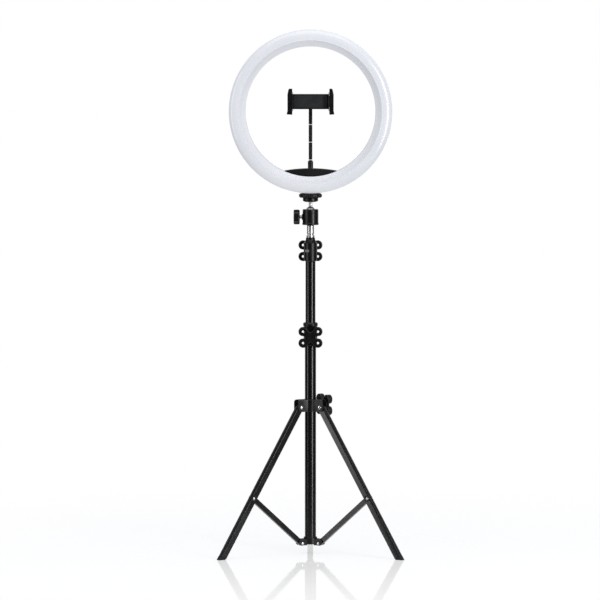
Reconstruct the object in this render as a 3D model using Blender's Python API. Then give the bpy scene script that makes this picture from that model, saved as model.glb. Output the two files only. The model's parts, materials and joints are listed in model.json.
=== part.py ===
# Ring light on a folding stand.
# A ring lamp sits on a small ball head, a three-section telescopic column and a folding
# tripod. A bendable neck inside the ring carries a spring phone clamp.
# Units are metres, +Z is up and the lamp faces -Y.

import math

import bmesh
import bpy
from mathutils import Matrix, Vector

# Clearances
TOUCH_GAP = 0.0003          # between pieces that rest on each other
TUBE_FIT = 0.0003           # radial play of a tube in its sleeve
PIN_FIT = 0.0003            # radial play of a rivet or screw in its hole
HINGE_FIT = 0.0003          # side play of a leg between its ears
BRACE_FIT = 0.0004          # side play of a brace in its channel
BALL_FIT = 0.0003           # radial play of the ball in its seat
SOCKET_FIT = 0.0004         # radial play of the clamp's socket on the neck's ball
END_GAP = 0.0007            # between a tube's end and the shoulder in its collar
CUT_PAST = 0.0020           # how far a cutter runs past the face it opens
EDGE = 0.0006               # small edge breaks

# Ring lamp
RING_OUTER_RADIUS = 0.130
RING_WIDTH = 0.0266
RING_CROWN_OFFSET = 0.0126  # from the hole's edge to the crown's highest line
RING_FRONT_DEPTH = 0.0105   # diffuser in front of the seam
RING_SIDE_DEPTH = 0.0020    # straight part of the diffuser's side
RING_BACK_DEPTH = 0.0157    # housing behind the seam
RING_BACK_CORNER = 0.0060
RING_SEAM_Y = -0.0067
RING_WALL = 0.0018
RING_STEPS = 48
BOARD_THICKNESS = 0.0007
BOARD_MARGIN = 0.0008       # between the board's inner edge and the diffuser's wall
BOARD_OFFSET = 0.0004       # behind the seam
BASE_BOSS_RADIUS = 0.0054
BASE_BOSS_HEIGHT = 0.0130
GLAND_ANGLE = -125
GLAND_BORE = 0.0016
GLAND_NECK_RADIUS = 0.0023
GLAND_FLANGE_RADIUS = 0.0042
GLAND_REACH = 0.0090

# Quarter inch stud and its insert
STUD_RADIUS = 0.00315
STUD_LENGTH = 0.0075        # above the wheel pad
INSERT_WALL = 0.0005

# Bracket and neck
BRACKET_HALF_WIDTH = 0.042
BRACKET_DEPTH = 0.0140
BRACKET_CROWN = 0.0132      # crescent's height at its middle
FLANGE_THICKNESS = 0.0022
FLANGE_MARGIN = 0.0060      # flange past the screws' circle
FLANGE_HALF_ANGLE = 18
NECK_RADIUS = 0.00305
NECK_FERRULE_RADIUS = 0.0043
NECK_FERRULE_HEIGHT = 0.0131
NECK_LENGTH = 0.0840
NECK_SEGMENTS = 3
NECK_RIBS = 3
NECK_RIB_DEPTH = 0.0004
NECK_BEND_RELIEF = 0.00045
NECK_Y = 0.0040
ELBOW_RADIUS = 0.0046
ELBOW_RISE = 0.0052         # barrel above the swivel ball's centre
SWIVEL_BALL_RADIUS = 0.0036
SWIVEL_STUB_RADIUS = 0.0020
SWIVEL_NUT_RADIUS = 0.0068
SWIVEL_NUT_BACK = 0.0034
SWIVEL_NUT_FRONT = -0.0026
SWIVEL_NUT_WALL = 0.0013
SWIVEL_GAP = 0.0020         # between the barrel and the nut

# Phone clamp
CLAMP_WIDTH = 0.0590
CLAMP_HEIGHT = 0.0240
CLAMP_THICKNESS = 0.0082
CLAMP_DROP = 0.0030         # clamp's lower edge below the neck's end
CLAMP_STANDOFF = 0.0054     # ball's centre to the clamp's back
CLAMP_CORNER = 0.0016
CLAMP_BOSS_FLOOR = 0.0042   # depth of the ball's socket in the clamp's boss
JAW_WIDTH = 0.0071
JAW_HEIGHT = 0.0410
JAW_REACH = 0.0200          # in front of the clamp body's back face
JAW_OVERLAP = 0.0006        # fixed jaw into the body's end
PANEL_THICKNESS = 0.0012
PANEL_MARGIN = 0.0025       # clamp body above and below the panel
TONGUE_THICKNESS = 0.0032
TONGUE_HEIGHT = 0.0166
TONGUE_LENGTH = 0.0380
TONGUE_COVER = 0.0020       # clamp body behind the tongue's slot
SLOT_LENGTH = 0.0540        # from the clamp body's right end
PAD_THICKNESS = 0.0016
PAD_HEIGHT = 0.0295
SPRING_TURNS = 7
SPRING_RADIUS = 0.0014
SPRING_WIRE = 0.00035

# Ball head
WHEEL_RADIUS = 0.01835
WHEEL_HEIGHT = 0.0057
WHEEL_PAD_HEIGHT = 0.0009
WHEEL_PAD_INSET = 0.0016
WHEEL_GROOVES = 18
WHEEL_GROOVE_DEPTH = 0.0007
STEM_FLANGE_RADIUS = 0.0122
STEM_FLANGE_HEIGHT = 0.0064
STEM_RADIUS = 0.0028
STEM_LENGTH = 0.0140        # ball centre to the flange
BALL_RADIUS = 0.0073
BALL_BELOW_RIM = 0.0024     # ball centre below the housing's rim
HOUSING_WALL = 0.0043       # outside the friction cup
HOUSING_LIP = 0.0005
HOUSING_HEIGHT = 0.0249
HOUSING_FLOOR = 0.0068
HOUSING_NOTCH_WIDTH = 0.0066
HOUSING_NOTCH_DEPTH = 0.0085
CUP_WALL = 0.0004
BALL_KNOB_RADIUS = 0.0118
BALL_KNOB_THICKNESS = 0.0100
BALL_KNOB_STANDOFF = 0.0044
BALL_KNOB_LOBES = 6
BALL_KNOB_LOBE_DEPTH = 0.0009
BALL_KNOB_STEPS = 36
BALL_SCREW_RADIUS = 0.0026
BALL_SCREW_GRIP = 0.0050    # knob past the screw's end
SPIGOT_RADIUS = 0.0057
SPIGOT_FOOT_RADIUS = 0.00665
SPIGOT_HEIGHT = 0.0196
SPIGOT_GROOVE_DEPTH = 0.0006
SPIGOT_STUD_LENGTH = 0.0050
SPIGOT_TENON_RADIUS = 0.0040
SPIGOT_TENON_DEPTH = 0.0080

# Column
TUBE_WALL = 0.0007
LOWER_TUBE_RADIUS = 0.0090
LOWER_TUBE_LENGTH = 0.3250
MIDDLE_TUBE_LENGTH = 0.2990
TOP_TUBE_LENGTH = 0.2490
MIDDLE_TUBE_SHOWN = 0.0976  # between the two collars, as drawn out here
TUBE_STEPS = 24
MID_COLLAR_HEIGHT = 0.0373
MID_COLLAR_WALL = 0.0017
UPPER_COLLAR_HEIGHT = 0.0311
UPPER_COLLAR_WALL = 0.0026
COLLAR_LIP = 0.0011
COLLAR_CHAMFER = 0.0016
COLLAR_SEAT = 0.0100        # how deep the sleeve's tube sits in a collar
PLUG_FLANGE_HEIGHT = 0.0066
PLUG_FLANGE_REACH = 0.0018  # past the top tube
PLUG_NECK_REACH = 0.0004
PLUG_DEPTH = 0.0120

# Clamp knobs
KNOB_LOBE_REACH = 0.0148    # knob axis to a lobe's centre
KNOB_LOBE_RADIUS = 0.0075
KNOB_LOBE_ANGLE = math.radians(38)
KNOB_WAIST_SIDE = 0.0093
KNOB_WAIST_TOP = 0.0080
KNOB_THICKNESS = 0.0090
KNOB_HUB_RADIUS = 0.0056
KNOB_HUB_RISE = 0.0012
KNOB_EYE_RADIUS = 0.0021    # hole right through a lobe
KNOB_STANDOFF = 0.0007      # between the boss and the knob
CLAMP_SCREW_RADIUS = 0.0023
CLAMP_SCREW_GRIP = 0.0030   # knob past the screw's end
CLAMP_BOSS_RADIUS = 0.0052
CLAMP_BOSS_REACH = 0.0030   # past the collar's own wall
HUB_BOSS_REACH = 0.0088
MID_SCREW_RISE = 0.0148     # above the collar's lower end
UPPER_SCREW_RISE = 0.0158

# Legs. Angles are from the vertical.
LEG_AZIMUTHS = {"front_left": -150, "front_right": -30, "rear": 90}
HUB_KNOB_AZIMUTH = 30
LEG_ANGLE = math.radians(31.3)
LEG_PIVOT_OFFSET = 0.0112   # outside the lower tube
LEG_PIVOT_HEIGHT = 0.2358
LEG_ABOVE_PIVOT = 0.0060
LEG_DEPTH = 0.0106
LEG_WIDTH = 0.0092
LEG_WALL = 0.0010
LEG_CORNER = 0.0020
BRACE_JOINT_DISTANCE = 0.1653   # down the leg from its pivot
BRACE_PIVOT_OFFSET = 0.0088     # outside the lower tube
BRACE_PIVOT_HEIGHT = 0.0176
BRACE_DEPTH = 0.0080
BRACE_WALL = 0.0010
BRACE_END_LENGTH = 0.0070
FOOT_PLUG_LENGTH = 0.0080
SOLE_CLEARANCE = 0.0012     # lowest corner of the channel above the ground
HUB_HEIGHT = 0.0196
HUB_BELOW_PIVOT = 0.0072
HUB_WALL = 0.0023
HUB_EAR_MARGIN = 0.0059     # ear past the leg's rivet
HUB_EAR_THICKNESS = 0.0024
HUB_EAR_CORNER = 0.0040
BOTTOM_HUB_WALL = 0.0017
BOTTOM_HUB_FLOOR = 0.0022
BOTTOM_HUB_BASE = 0.0155
BOTTOM_HUB_HEIGHT = 0.0115
BOTTOM_EAR_MARGIN = 0.0061  # ear past the brace's rivet
BOTTOM_EAR_BELOW = 0.0033
BOTTOM_EAR_ABOVE = 0.0069
BOTTOM_EAR_THICKNESS = 0.0020
BOTTOM_EAR_CORNER = 0.0045
RIVET_RADIUS = 0.0017
RIVET_HEAD_HEIGHT = 0.0012
HUB_RIVET_HEAD_RADIUS = 0.0030
BRACE_RIVET_HEAD_RADIUS = 0.0024

# Small screws in the ring's back
SCREW_RADIUS = 0.0014
SCREW_HEAD_RADIUS = 0.0028
SCREW_HEAD_HEIGHT = 0.0016
SCREW_LENGTH = 0.0060
SCREW_CIRCLE_OFFSET = 0.0116    # from the hole's edge
HOUSING_SCREW_ANGLES = {"left": 125, "right": 55}
BRACKET_SCREW_ANGLES = {"left": -103, "right": -77}

# Radii and lengths that follow from the sizes above
MIDDLE_TUBE_RADIUS = LOWER_TUBE_RADIUS - TUBE_WALL - TUBE_FIT
TOP_TUBE_RADIUS = MIDDLE_TUBE_RADIUS - TUBE_WALL - TUBE_FIT
MID_COLLAR_RADIUS = LOWER_TUBE_RADIUS + MID_COLLAR_WALL
UPPER_COLLAR_RADIUS = MIDDLE_TUBE_RADIUS + UPPER_COLLAR_WALL
HUB_BORE = LOWER_TUBE_RADIUS + TUBE_FIT
HUB_RADIUS = HUB_BORE + HUB_WALL
BALL_SEAT_RADIUS = BALL_RADIUS + BALL_FIT
CUP_RADIUS = BALL_SEAT_RADIUS + CUP_WALL
CUP_BORE = CUP_RADIUS + BALL_FIT
HOUSING_RADIUS = CUP_BORE + HOUSING_WALL
HOUSING_LIP_RADIUS = HOUSING_RADIUS + HOUSING_LIP
RING_INNER_RADIUS = RING_OUTER_RADIUS - RING_WIDTH
RING_CROWN_RADIUS = RING_INNER_RADIUS + RING_CROWN_OFFSET
RING_BACK_Y = RING_SEAM_Y + RING_BACK_DEPTH
SCREW_CIRCLE = RING_INNER_RADIUS + SCREW_CIRCLE_OFFSET
LEG_PIVOT_RADIUS = LOWER_TUBE_RADIUS + LEG_PIVOT_OFFSET
BRACE_PIVOT_RADIUS = LOWER_TUBE_RADIUS + BRACE_PIVOT_OFFSET
BRACE_WIDTH = LEG_WIDTH - 2 * (LEG_WALL + BRACE_FIT)
LEG_LENGTH = LEG_PIVOT_HEIGHT / math.cos(LEG_ANGLE)
JOINT_RADIUS = LEG_PIVOT_RADIUS + BRACE_JOINT_DISTANCE * math.sin(LEG_ANGLE)
JOINT_HEIGHT = LEG_PIVOT_HEIGHT - BRACE_JOINT_DISTANCE * math.cos(LEG_ANGLE)
BRACE_RUN = JOINT_RADIUS - BRACE_PIVOT_RADIUS
BRACE_RISE = JOINT_HEIGHT - BRACE_PIVOT_HEIGHT
BRACE_LENGTH = math.hypot(BRACE_RUN, BRACE_RISE)
BRACE_ANGLE = math.atan2(BRACE_RUN, BRACE_RISE)

# Heights up the column, each from the piece below it
HUB_BOTTOM = LEG_PIVOT_HEIGHT - HUB_BELOW_PIVOT
HUB_TOP = HUB_BOTTOM + HUB_HEIGHT
HUB_SCREW_HEIGHT = HUB_BOTTOM + HUB_HEIGHT / 2
LOWER_TUBE_BOTTOM = BOTTOM_HUB_BASE + BOTTOM_HUB_FLOOR + TOUCH_GAP
LOWER_TUBE_TOP = LOWER_TUBE_BOTTOM + LOWER_TUBE_LENGTH
MID_COLLAR_BOTTOM = LOWER_TUBE_TOP + END_GAP - COLLAR_SEAT
MID_COLLAR_TOP = MID_COLLAR_BOTTOM + MID_COLLAR_HEIGHT
MID_SCREW_HEIGHT = MID_COLLAR_BOTTOM + MID_SCREW_RISE
UPPER_COLLAR_BOTTOM = MID_COLLAR_TOP + MIDDLE_TUBE_SHOWN
UPPER_COLLAR_TOP = UPPER_COLLAR_BOTTOM + UPPER_COLLAR_HEIGHT
UPPER_SCREW_HEIGHT = UPPER_COLLAR_BOTTOM + UPPER_SCREW_RISE
MIDDLE_TUBE_TOP = UPPER_COLLAR_BOTTOM + COLLAR_SEAT - TOUCH_GAP
PLUG_BOTTOM = UPPER_COLLAR_TOP + TOUCH_GAP
SPIGOT_BOTTOM = PLUG_BOTTOM + PLUG_FLANGE_HEIGHT + TOUCH_GAP
HOUSING_BOTTOM = SPIGOT_BOTTOM + SPIGOT_HEIGHT + TOUCH_GAP
HOUSING_RIM = HOUSING_BOTTOM + HOUSING_HEIGHT
BALL_KNOB_HEIGHT = HOUSING_BOTTOM + HOUSING_HEIGHT / 2
BALL_HEIGHT = HOUSING_RIM - BALL_BELOW_RIM
FLANGE_BOTTOM = BALL_HEIGHT + STEM_LENGTH
WHEEL_BOTTOM = FLANGE_BOTTOM + STEM_FLANGE_HEIGHT + TOUCH_GAP
PAD_BOTTOM = WHEEL_BOTTOM + WHEEL_HEIGHT + TOUCH_GAP
RING_BOTTOM = PAD_BOTTOM + WHEEL_PAD_HEIGHT + TOUCH_GAP
RING_CENTRE = RING_BOTTOM + RING_OUTER_RADIUS
FERRULE_BOTTOM = RING_CENTRE - RING_INNER_RADIUS + BRACKET_CROWN
NECK_BOTTOM = FERRULE_BOTTOM + NECK_FERRULE_HEIGHT + TOUCH_GAP
NECK_TOP = NECK_BOTTOM + NECK_LENGTH
CLAMP_CENTRE = NECK_TOP - CLAMP_DROP + CLAMP_HEIGHT / 2
SWIVEL_Y = NECK_Y - ELBOW_RADIUS - SWIVEL_GAP - SWIVEL_BALL_RADIUS


# ---------------------------------------------------------------- shared tools


def clear_scene():
    for old in list(bpy.data.objects):
        bpy.data.objects.remove(old, do_unlink=True)


def make_material(name, colour, roughness, metallic=0.0):
    made = bpy.data.materials.new(name)
    made.use_nodes = True
    shader = made.node_tree.nodes["Principled BSDF"]
    shader.inputs["Base Color"].default_value = (*colour, 1.0)
    shader.inputs["Roughness"].default_value = roughness
    shader.inputs["Metallic"].default_value = metallic
    return made


def attach(piece, parent):
    """Parents a piece and keeps it where it stands."""
    if parent is not None:
        bpy.context.view_layer.update()
        piece.parent = parent
        piece.matrix_parent_inverse = parent.matrix_world.inverted()
    return piece


def make_pivot(name, position, parent=None, turn=(0, 0, 0)):
    """An empty on a joint's axis, which the moving pieces hang from."""
    pivot = bpy.data.objects.new(name, None)
    pivot.empty_display_size = 0.02
    pivot.location = position
    pivot.rotation_euler = turn
    bpy.context.collection.objects.link(pivot)
    return attach(pivot, parent)


def make_object(name, shape, material, parent=None, origin=(0, 0, 0), sharp=32):
    """Turns a bmesh drawn in column coordinates into an object whose origin is given."""
    bmesh.ops.remove_doubles(shape, verts=shape.verts, dist=1e-6)
    bmesh.ops.recalc_face_normals(shape, faces=shape.faces)
    bmesh.ops.translate(shape, verts=shape.verts, vec=-Vector(origin))
    mesh = bpy.data.meshes.new(name)
    shape.to_mesh(mesh)
    shape.free()
    mesh.shade_smooth()
    mesh.set_sharp_from_angle(angle=math.radians(sharp))
    mesh.materials.append(material)
    piece = bpy.data.objects.new(name, mesh)
    piece.location = origin
    bpy.context.collection.objects.link(piece)
    return attach(piece, parent)


def make_helper(name, shape, owner):
    """A cutter or an added form, drawn in the same coordinates as its owner's mesh."""
    helper = make_object(name, shape, owner.data.materials[0])
    helper.hide_render = True
    helper.display_type = "WIRE"
    helper.parent = owner
    return helper


def combine(piece, shape, operation, name):
    """Adds a Boolean modifier that works with a second shape."""
    modifier = piece.modifiers.new(name, "BOOLEAN")
    modifier.operation = operation
    modifier.solver = "EXACT"
    modifier.object = make_helper(f"{piece.name}_{name}", shape, piece)


def add_bevel(piece, width, segments=2, angle=40):
    modifier = piece.modifiers.new("rounded_edges", "BEVEL")
    modifier.width = width
    modifier.segments = segments
    modifier.limit_method = "ANGLE"
    modifier.angle_limit = math.radians(angle)


def arc(centre, radius, start, end, steps):
    """Points on an arc in a plane, angles in degrees. The radius may be a pair for an ellipse."""
    wide, high = radius if isinstance(radius, tuple) else (radius, radius)
    angles = [math.radians(start + (end - start) * i / steps) for i in range(steps + 1)]
    return [(centre[0] + wide * math.cos(a), centre[1] + high * math.sin(a)) for a in angles]


def rounded_box_outline(width, height, corner, steps=3):
    """A rounded rectangle about the origin."""
    x, y = width / 2 - corner, height / 2 - corner
    quarters = [((x, y), 0), ((-x, y), 90), ((-x, -y), 180), ((x, -y), 270)]
    return [p for centre, start in quarters for p in arc(centre, corner, start, start + 90, steps)]


def turned(outline, steps, closed=True):
    """Spins an outline of (radius, height) points round Z."""
    shape = bmesh.new()
    points = [shape.verts.new((radius, 0, height)) for radius, height in outline]
    edges = [shape.edges.new(pair) for pair in zip(points, points[1:])]
    if closed:
        edges.append(shape.edges.new((points[-1], points[0])))
    bmesh.ops.spin(shape, geom=points + edges, cent=(0, 0, 0), axis=(0, 0, 1), dvec=(0, 0, 0),
                   angle=math.tau, steps=steps, use_merge=True, use_duplicate=False)
    bmesh.ops.remove_doubles(shape, verts=shape.verts, dist=1e-6)
    return shape


def prism(outline, low, high):
    """Extrudes an outline in the XY plane from one height to another."""
    shape = bmesh.new()
    face = shape.faces.new([shape.verts.new((x, y, low)) for x, y in outline])
    grown = bmesh.ops.extrude_face_region(shape, geom=[face])["geom"]
    tops = [part for part in grown if isinstance(part, bmesh.types.BMVert)]
    bmesh.ops.translate(shape, verts=tops, vec=(0, 0, high - low))
    return shape


def disc(radius, low, high, steps=12):
    return prism(arc((0, 0), radius, 0, 360 * (steps - 1) / steps, steps - 1), low, high)


def moved(shape, matrix):
    bmesh.ops.transform(shape, matrix=matrix, verts=shape.verts)
    return shape


def merged(shapes):
    """Puts several shapes into one bmesh."""
    whole = bmesh.new()
    for shape in shapes:
        part = bpy.data.meshes.new("part")
        shape.to_mesh(part)
        shape.free()
        whole.from_mesh(part)
        bpy.data.meshes.remove(part)
    return whole


def shift(x=0.0, y=0.0, z=0.0):
    return Matrix.Translation((x, y, z))


def spin_about(axis, degrees):
    return Matrix.Rotation(math.radians(degrees), 4, axis)


# Turns a shape drawn on Z so that its Z runs along another direction.
Z_TO_X = spin_about("Y", 90)
Z_TO_Y = spin_about("X", -90)
# A drawing in XY that stands up facing the viewer: X stays, its Y becomes height.
UPRIGHT = spin_about("X", 90)


# ---------------------------------------------------------------- materials


def make_materials():
    return {
        "diffuser": make_material("milky_diffuser", (0.83, 0.85, 0.88), 0.35),
        "plastic": make_material("black_plastic", (0.018, 0.018, 0.020), 0.45),
        "powder": make_material("black_powder_coat", (0.012, 0.012, 0.013), 0.32),
        "gloss": make_material("grey_sheen_panel", (0.045, 0.045, 0.050), 0.22),
        "rubber": make_material("black_rubber", (0.020, 0.020, 0.020), 0.75),
        "bright": make_material("bright_steel", (0.82, 0.82, 0.83), 0.18, 1.0),
        "brass": make_material("brass", (0.80, 0.60, 0.28), 0.30, 1.0),
        "board": make_material("white_board", (0.85, 0.86, 0.82), 0.50),
        "neck": make_material("black_neck", (0.016, 0.016, 0.017), 0.40),
    }


# ---------------------------------------------------------------- column and clamps


def make_tube(name, radius, bottom, top, material, parent):
    bore = radius - TUBE_WALL
    outline = [(radius, bottom), (radius, top), (bore, top), (bore, bottom)]
    return make_object(name, turned(outline, TUBE_STEPS), material, parent, (0, 0, bottom))


def radial(shape, azimuth, height):
    """Lays a shape that was drawn on Z along a horizontal radius of the column."""
    return moved(shape, shift(z=height) @ spin_about("Z", azimuth) @ Z_TO_X)


def add_clamp_boss(piece, azimuth, height, wall, reach, origin_height):
    """A round boss on a sleeve's wall and the hole for the clamp screw right through it."""
    inside = wall * 0.90
    boss = radial(disc(CLAMP_BOSS_RADIUS, inside, wall + reach, 20), azimuth, height - origin_height)
    combine(piece, boss, "UNION", "boss")
    bore = CLAMP_SCREW_RADIUS + PIN_FIT
    hole = radial(disc(bore, 0, wall + reach + CUT_PAST), azimuth, height - origin_height)
    combine(piece, hole, "DIFFERENCE", "screw_hole")


def make_collar(name, bottom, height, radius, sleeve, slider, lip, material, parent):
    """A collar that is pressed on one tube and clamps the thinner tube inside it."""
    top = bottom + height
    seat = bottom + COLLAR_SEAT
    low_bore = sleeve + TOUCH_GAP
    high_bore = slider + TUBE_FIT
    outline = [
        (low_bore, bottom),
        (radius - COLLAR_CHAMFER, bottom),
        (radius, bottom + COLLAR_CHAMFER),
        (radius, top - 4 * COLLAR_CHAMFER),
        (radius + lip, top - 3 * COLLAR_CHAMFER),
        (radius + lip, top - COLLAR_CHAMFER),
        (radius + lip - COLLAR_CHAMFER, top),
        (high_bore, top),
        (high_bore, seat),
        (low_bore, seat),
    ]
    return make_object(name, turned(outline, TUBE_STEPS), material, parent, (0, 0, bottom))


def knob_outline():
    """Four round lobes joined by narrower waists."""
    lobe_angles = [
        KNOB_LOBE_ANGLE,
        math.pi - KNOB_LOBE_ANGLE,
        math.pi + KNOB_LOBE_ANGLE,
        -KNOB_LOBE_ANGLE,
    ]
    waists = [KNOB_WAIST_TOP, KNOB_WAIST_SIDE, KNOB_WAIST_TOP, KNOB_WAIST_SIDE]
    waist_angles = [90, 180, 270, 0]
    outline = []
    for angle, waist, waist_angle in zip(lobe_angles, waists, waist_angles):
        centre = (KNOB_LOBE_REACH * math.cos(angle), KNOB_LOBE_REACH * math.sin(angle))
        facing = math.degrees(angle)
        outline += arc(centre, KNOB_LOBE_RADIUS, facing - 100, facing + 100, 6)
        outline.append((waist * math.cos(math.radians(waist_angle)),
                        waist * math.sin(math.radians(waist_angle))))
    return outline


def make_clamp(prefix, azimuth, height, slider_radius, wall, reach, parent, materials):
    """The clamp screw, and the lobed knob moulded on its outer end."""
    knob_start = wall + reach + KNOB_STANDOFF
    knob_end = knob_start + KNOB_THICKNESS
    screw_tip = slider_radius + TUBE_FIT
    screw_end = knob_end - CLAMP_SCREW_GRIP
    place = shift(z=height) @ spin_about("Z", azimuth) @ Z_TO_X
    pivot = make_pivot(f"{prefix}_knob_pivot", (0, 0, height), parent)

    screw = moved(disc(CLAMP_SCREW_RADIUS, screw_tip, screw_end), place)
    make_object(f"{prefix}_clamp_screw", screw, materials["bright"], pivot, (0, 0, height))

    # The knob is drawn flat with its outline upright, then laid along the radius.
    stand_up = place @ spin_about("Z", 90)
    body = moved(prism(knob_outline(), knob_start, knob_end), stand_up)
    knob = make_object(f"{prefix}_knob", body, materials["plastic"], pivot, (0, 0, height))
    add_bevel(knob, 0.0012, 1)
    local = spin_about("Z", azimuth) @ Z_TO_X @ spin_about("Z", 90)
    hub = disc(KNOB_HUB_RADIUS, (knob_start + knob_end) / 2, knob_end + KNOB_HUB_RISE, 16)
    combine(knob, moved(hub, local), "UNION", "hub")
    holes = [moved(disc(CLAMP_SCREW_RADIUS + PIN_FIT, 0, screw_end + TOUCH_GAP), local)]
    for side in (-1, 1):
        for lift in (-1, 1):
            x = side * KNOB_LOBE_REACH * math.cos(KNOB_LOBE_ANGLE)
            y = lift * KNOB_LOBE_REACH * math.sin(KNOB_LOBE_ANGLE)
            eye = disc(KNOB_EYE_RADIUS, knob_start - CUT_PAST, knob_end + CUT_PAST, 10)
            holes.append(moved(eye, local @ shift(x, y)))
    combine(knob, merged(holes), "DIFFERENCE", "holes")


def make_column(rig, materials):
    make_tube("lower_tube", LOWER_TUBE_RADIUS, LOWER_TUBE_BOTTOM, LOWER_TUBE_TOP,
              materials["powder"], rig)
    mid_collar = make_collar("mid_collar", MID_COLLAR_BOTTOM, MID_COLLAR_HEIGHT, MID_COLLAR_RADIUS,
                             LOWER_TUBE_RADIUS, MIDDLE_TUBE_RADIUS, COLLAR_LIP,
                             materials["plastic"], rig)
    add_clamp_boss(mid_collar, -90, MID_SCREW_HEIGHT, MID_COLLAR_RADIUS, CLAMP_BOSS_REACH,
                   MID_COLLAR_BOTTOM)
    make_clamp("mid", -90, MID_SCREW_HEIGHT, MIDDLE_TUBE_RADIUS, MID_COLLAR_RADIUS,
               CLAMP_BOSS_REACH, rig, materials)

    middle = make_pivot("middle_section", (0, 0, MID_COLLAR_TOP), rig)
    make_tube("middle_tube", MIDDLE_TUBE_RADIUS, MIDDLE_TUBE_TOP - MIDDLE_TUBE_LENGTH,
              MIDDLE_TUBE_TOP, materials["powder"], middle)
    upper_collar = make_collar("upper_collar", UPPER_COLLAR_BOTTOM, UPPER_COLLAR_HEIGHT,
                               UPPER_COLLAR_RADIUS, MIDDLE_TUBE_RADIUS, TOP_TUBE_RADIUS, 0.0,
                               materials["plastic"], middle)
    add_clamp_boss(upper_collar, 90, UPPER_SCREW_HEIGHT, UPPER_COLLAR_RADIUS, CLAMP_BOSS_REACH,
                   UPPER_COLLAR_BOTTOM)
    make_clamp("upper", 90, UPPER_SCREW_HEIGHT, TOP_TUBE_RADIUS, UPPER_COLLAR_RADIUS,
               CLAMP_BOSS_REACH, middle, materials)

    top = make_pivot("top_section", (0, 0, UPPER_COLLAR_TOP), middle)
    make_tube("top_tube", TOP_TUBE_RADIUS, UPPER_COLLAR_TOP - TOP_TUBE_LENGTH, UPPER_COLLAR_TOP,
              materials["powder"], top)
    make_tube_plug(top, materials)
    return top


def make_tube_plug(parent, materials):
    """The cap that closes the top tube and holds the spigot's tenon."""
    tenon = SPIGOT_TENON_RADIUS + PIN_FIT
    inner = TOP_TUBE_RADIUS - TUBE_WALL - TUBE_FIT
    flange_top = PLUG_BOTTOM + PLUG_FLANGE_HEIGHT
    tenon_floor = flange_top - SPIGOT_TENON_DEPTH - 2 * TOUCH_GAP
    outline = [
        (0, PLUG_BOTTOM - PLUG_DEPTH),
        (inner, PLUG_BOTTOM - PLUG_DEPTH),
        (inner, PLUG_BOTTOM),
        (TOP_TUBE_RADIUS + PLUG_FLANGE_REACH, PLUG_BOTTOM),
        (TOP_TUBE_RADIUS + PLUG_FLANGE_REACH, PLUG_BOTTOM + 2 * EDGE),
        (TOP_TUBE_RADIUS + PLUG_NECK_REACH, PLUG_BOTTOM + PLUG_FLANGE_HEIGHT / 2),
        (TOP_TUBE_RADIUS + PLUG_NECK_REACH, flange_top - EDGE),
        (TOP_TUBE_RADIUS + PLUG_NECK_REACH - EDGE, flange_top),
        (tenon, flange_top),
        (tenon, tenon_floor),
        (0, tenon_floor),
    ]
    make_object("tube_plug", turned(outline, 20, closed=False), materials["plastic"], parent,
                (0, 0, PLUG_BOTTOM))


# ---------------------------------------------------------------- tripod


def ear_plates(reach, low, high, inner_face, thickness, root, corner):
    """Three forks of two upright ears each, round the column's axis."""
    ears = []
    outline = [(root, low)]
    outline += arc((reach - corner, low + corner), corner, -90, 0, 3)
    outline += arc((reach - corner, high - corner), corner, 0, 90, 3)
    outline.append((root, high))
    for azimuth in LEG_AZIMUTHS.values():
        for side in (-1, 1):
            near = side * inner_face
            far = side * (inner_face + thickness)
            plate = prism(outline, min(near, far), max(near, far))
            ears.append(moved(plate, spin_about("Z", azimuth) @ UPRIGHT))
    return merged(ears)


def pin_holes(radius, pivot_radius, height, half_length):
    holes = []
    for azimuth in LEG_AZIMUTHS.values():
        hole = disc(radius, -half_length, half_length, 12)
        holes.append(moved(hole, spin_about("Z", azimuth) @ shift(pivot_radius, 0, height) @ Z_TO_Y))
    return merged(holes)


def make_leg_hub(parent, materials):
    """The sliding hub: a sleeve on the lower tube with three forks for the legs."""
    outline = [
        (HUB_BORE, HUB_BOTTOM),
        (HUB_RADIUS - EDGE, HUB_BOTTOM),
        (HUB_RADIUS, HUB_BOTTOM + EDGE),
        (HUB_RADIUS, HUB_TOP - EDGE),
        (HUB_RADIUS - EDGE, HUB_TOP),
        (HUB_BORE, HUB_TOP),
    ]
    origin = (0, 0, LEG_PIVOT_HEIGHT)
    hub = make_object("leg_hub", turned(outline, TUBE_STEPS), materials["plastic"], parent, origin)
    fork = LEG_WIDTH / 2 + HINGE_FIT
    root = math.sqrt((HUB_BORE + HUB_WALL / 2) ** 2 - (fork + HUB_EAR_THICKNESS / 2) ** 2)
    low, high = HUB_BOTTOM - LEG_PIVOT_HEIGHT, HUB_TOP - LEG_PIVOT_HEIGHT
    ears = ear_plates(LEG_PIVOT_RADIUS + HUB_EAR_MARGIN, low + EDGE / 3, high - EDGE / 3, fork,
                      HUB_EAR_THICKNESS, root, HUB_EAR_CORNER)
    combine(hub, ears, "UNION", "ears")
    holes = pin_holes(RIVET_RADIUS + PIN_FIT, LEG_PIVOT_RADIUS, 0,
                      fork + HUB_EAR_THICKNESS + CUT_PAST)
    combine(hub, holes, "DIFFERENCE", "rivet_holes")
    add_clamp_boss(hub, HUB_KNOB_AZIMUTH, HUB_SCREW_HEIGHT, HUB_RADIUS, HUB_BOSS_REACH,
                   LEG_PIVOT_HEIGHT)
    make_clamp("hub", HUB_KNOB_AZIMUTH, HUB_SCREW_HEIGHT, LOWER_TUBE_RADIUS, HUB_RADIUS,
               HUB_BOSS_REACH, parent, materials)


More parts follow.
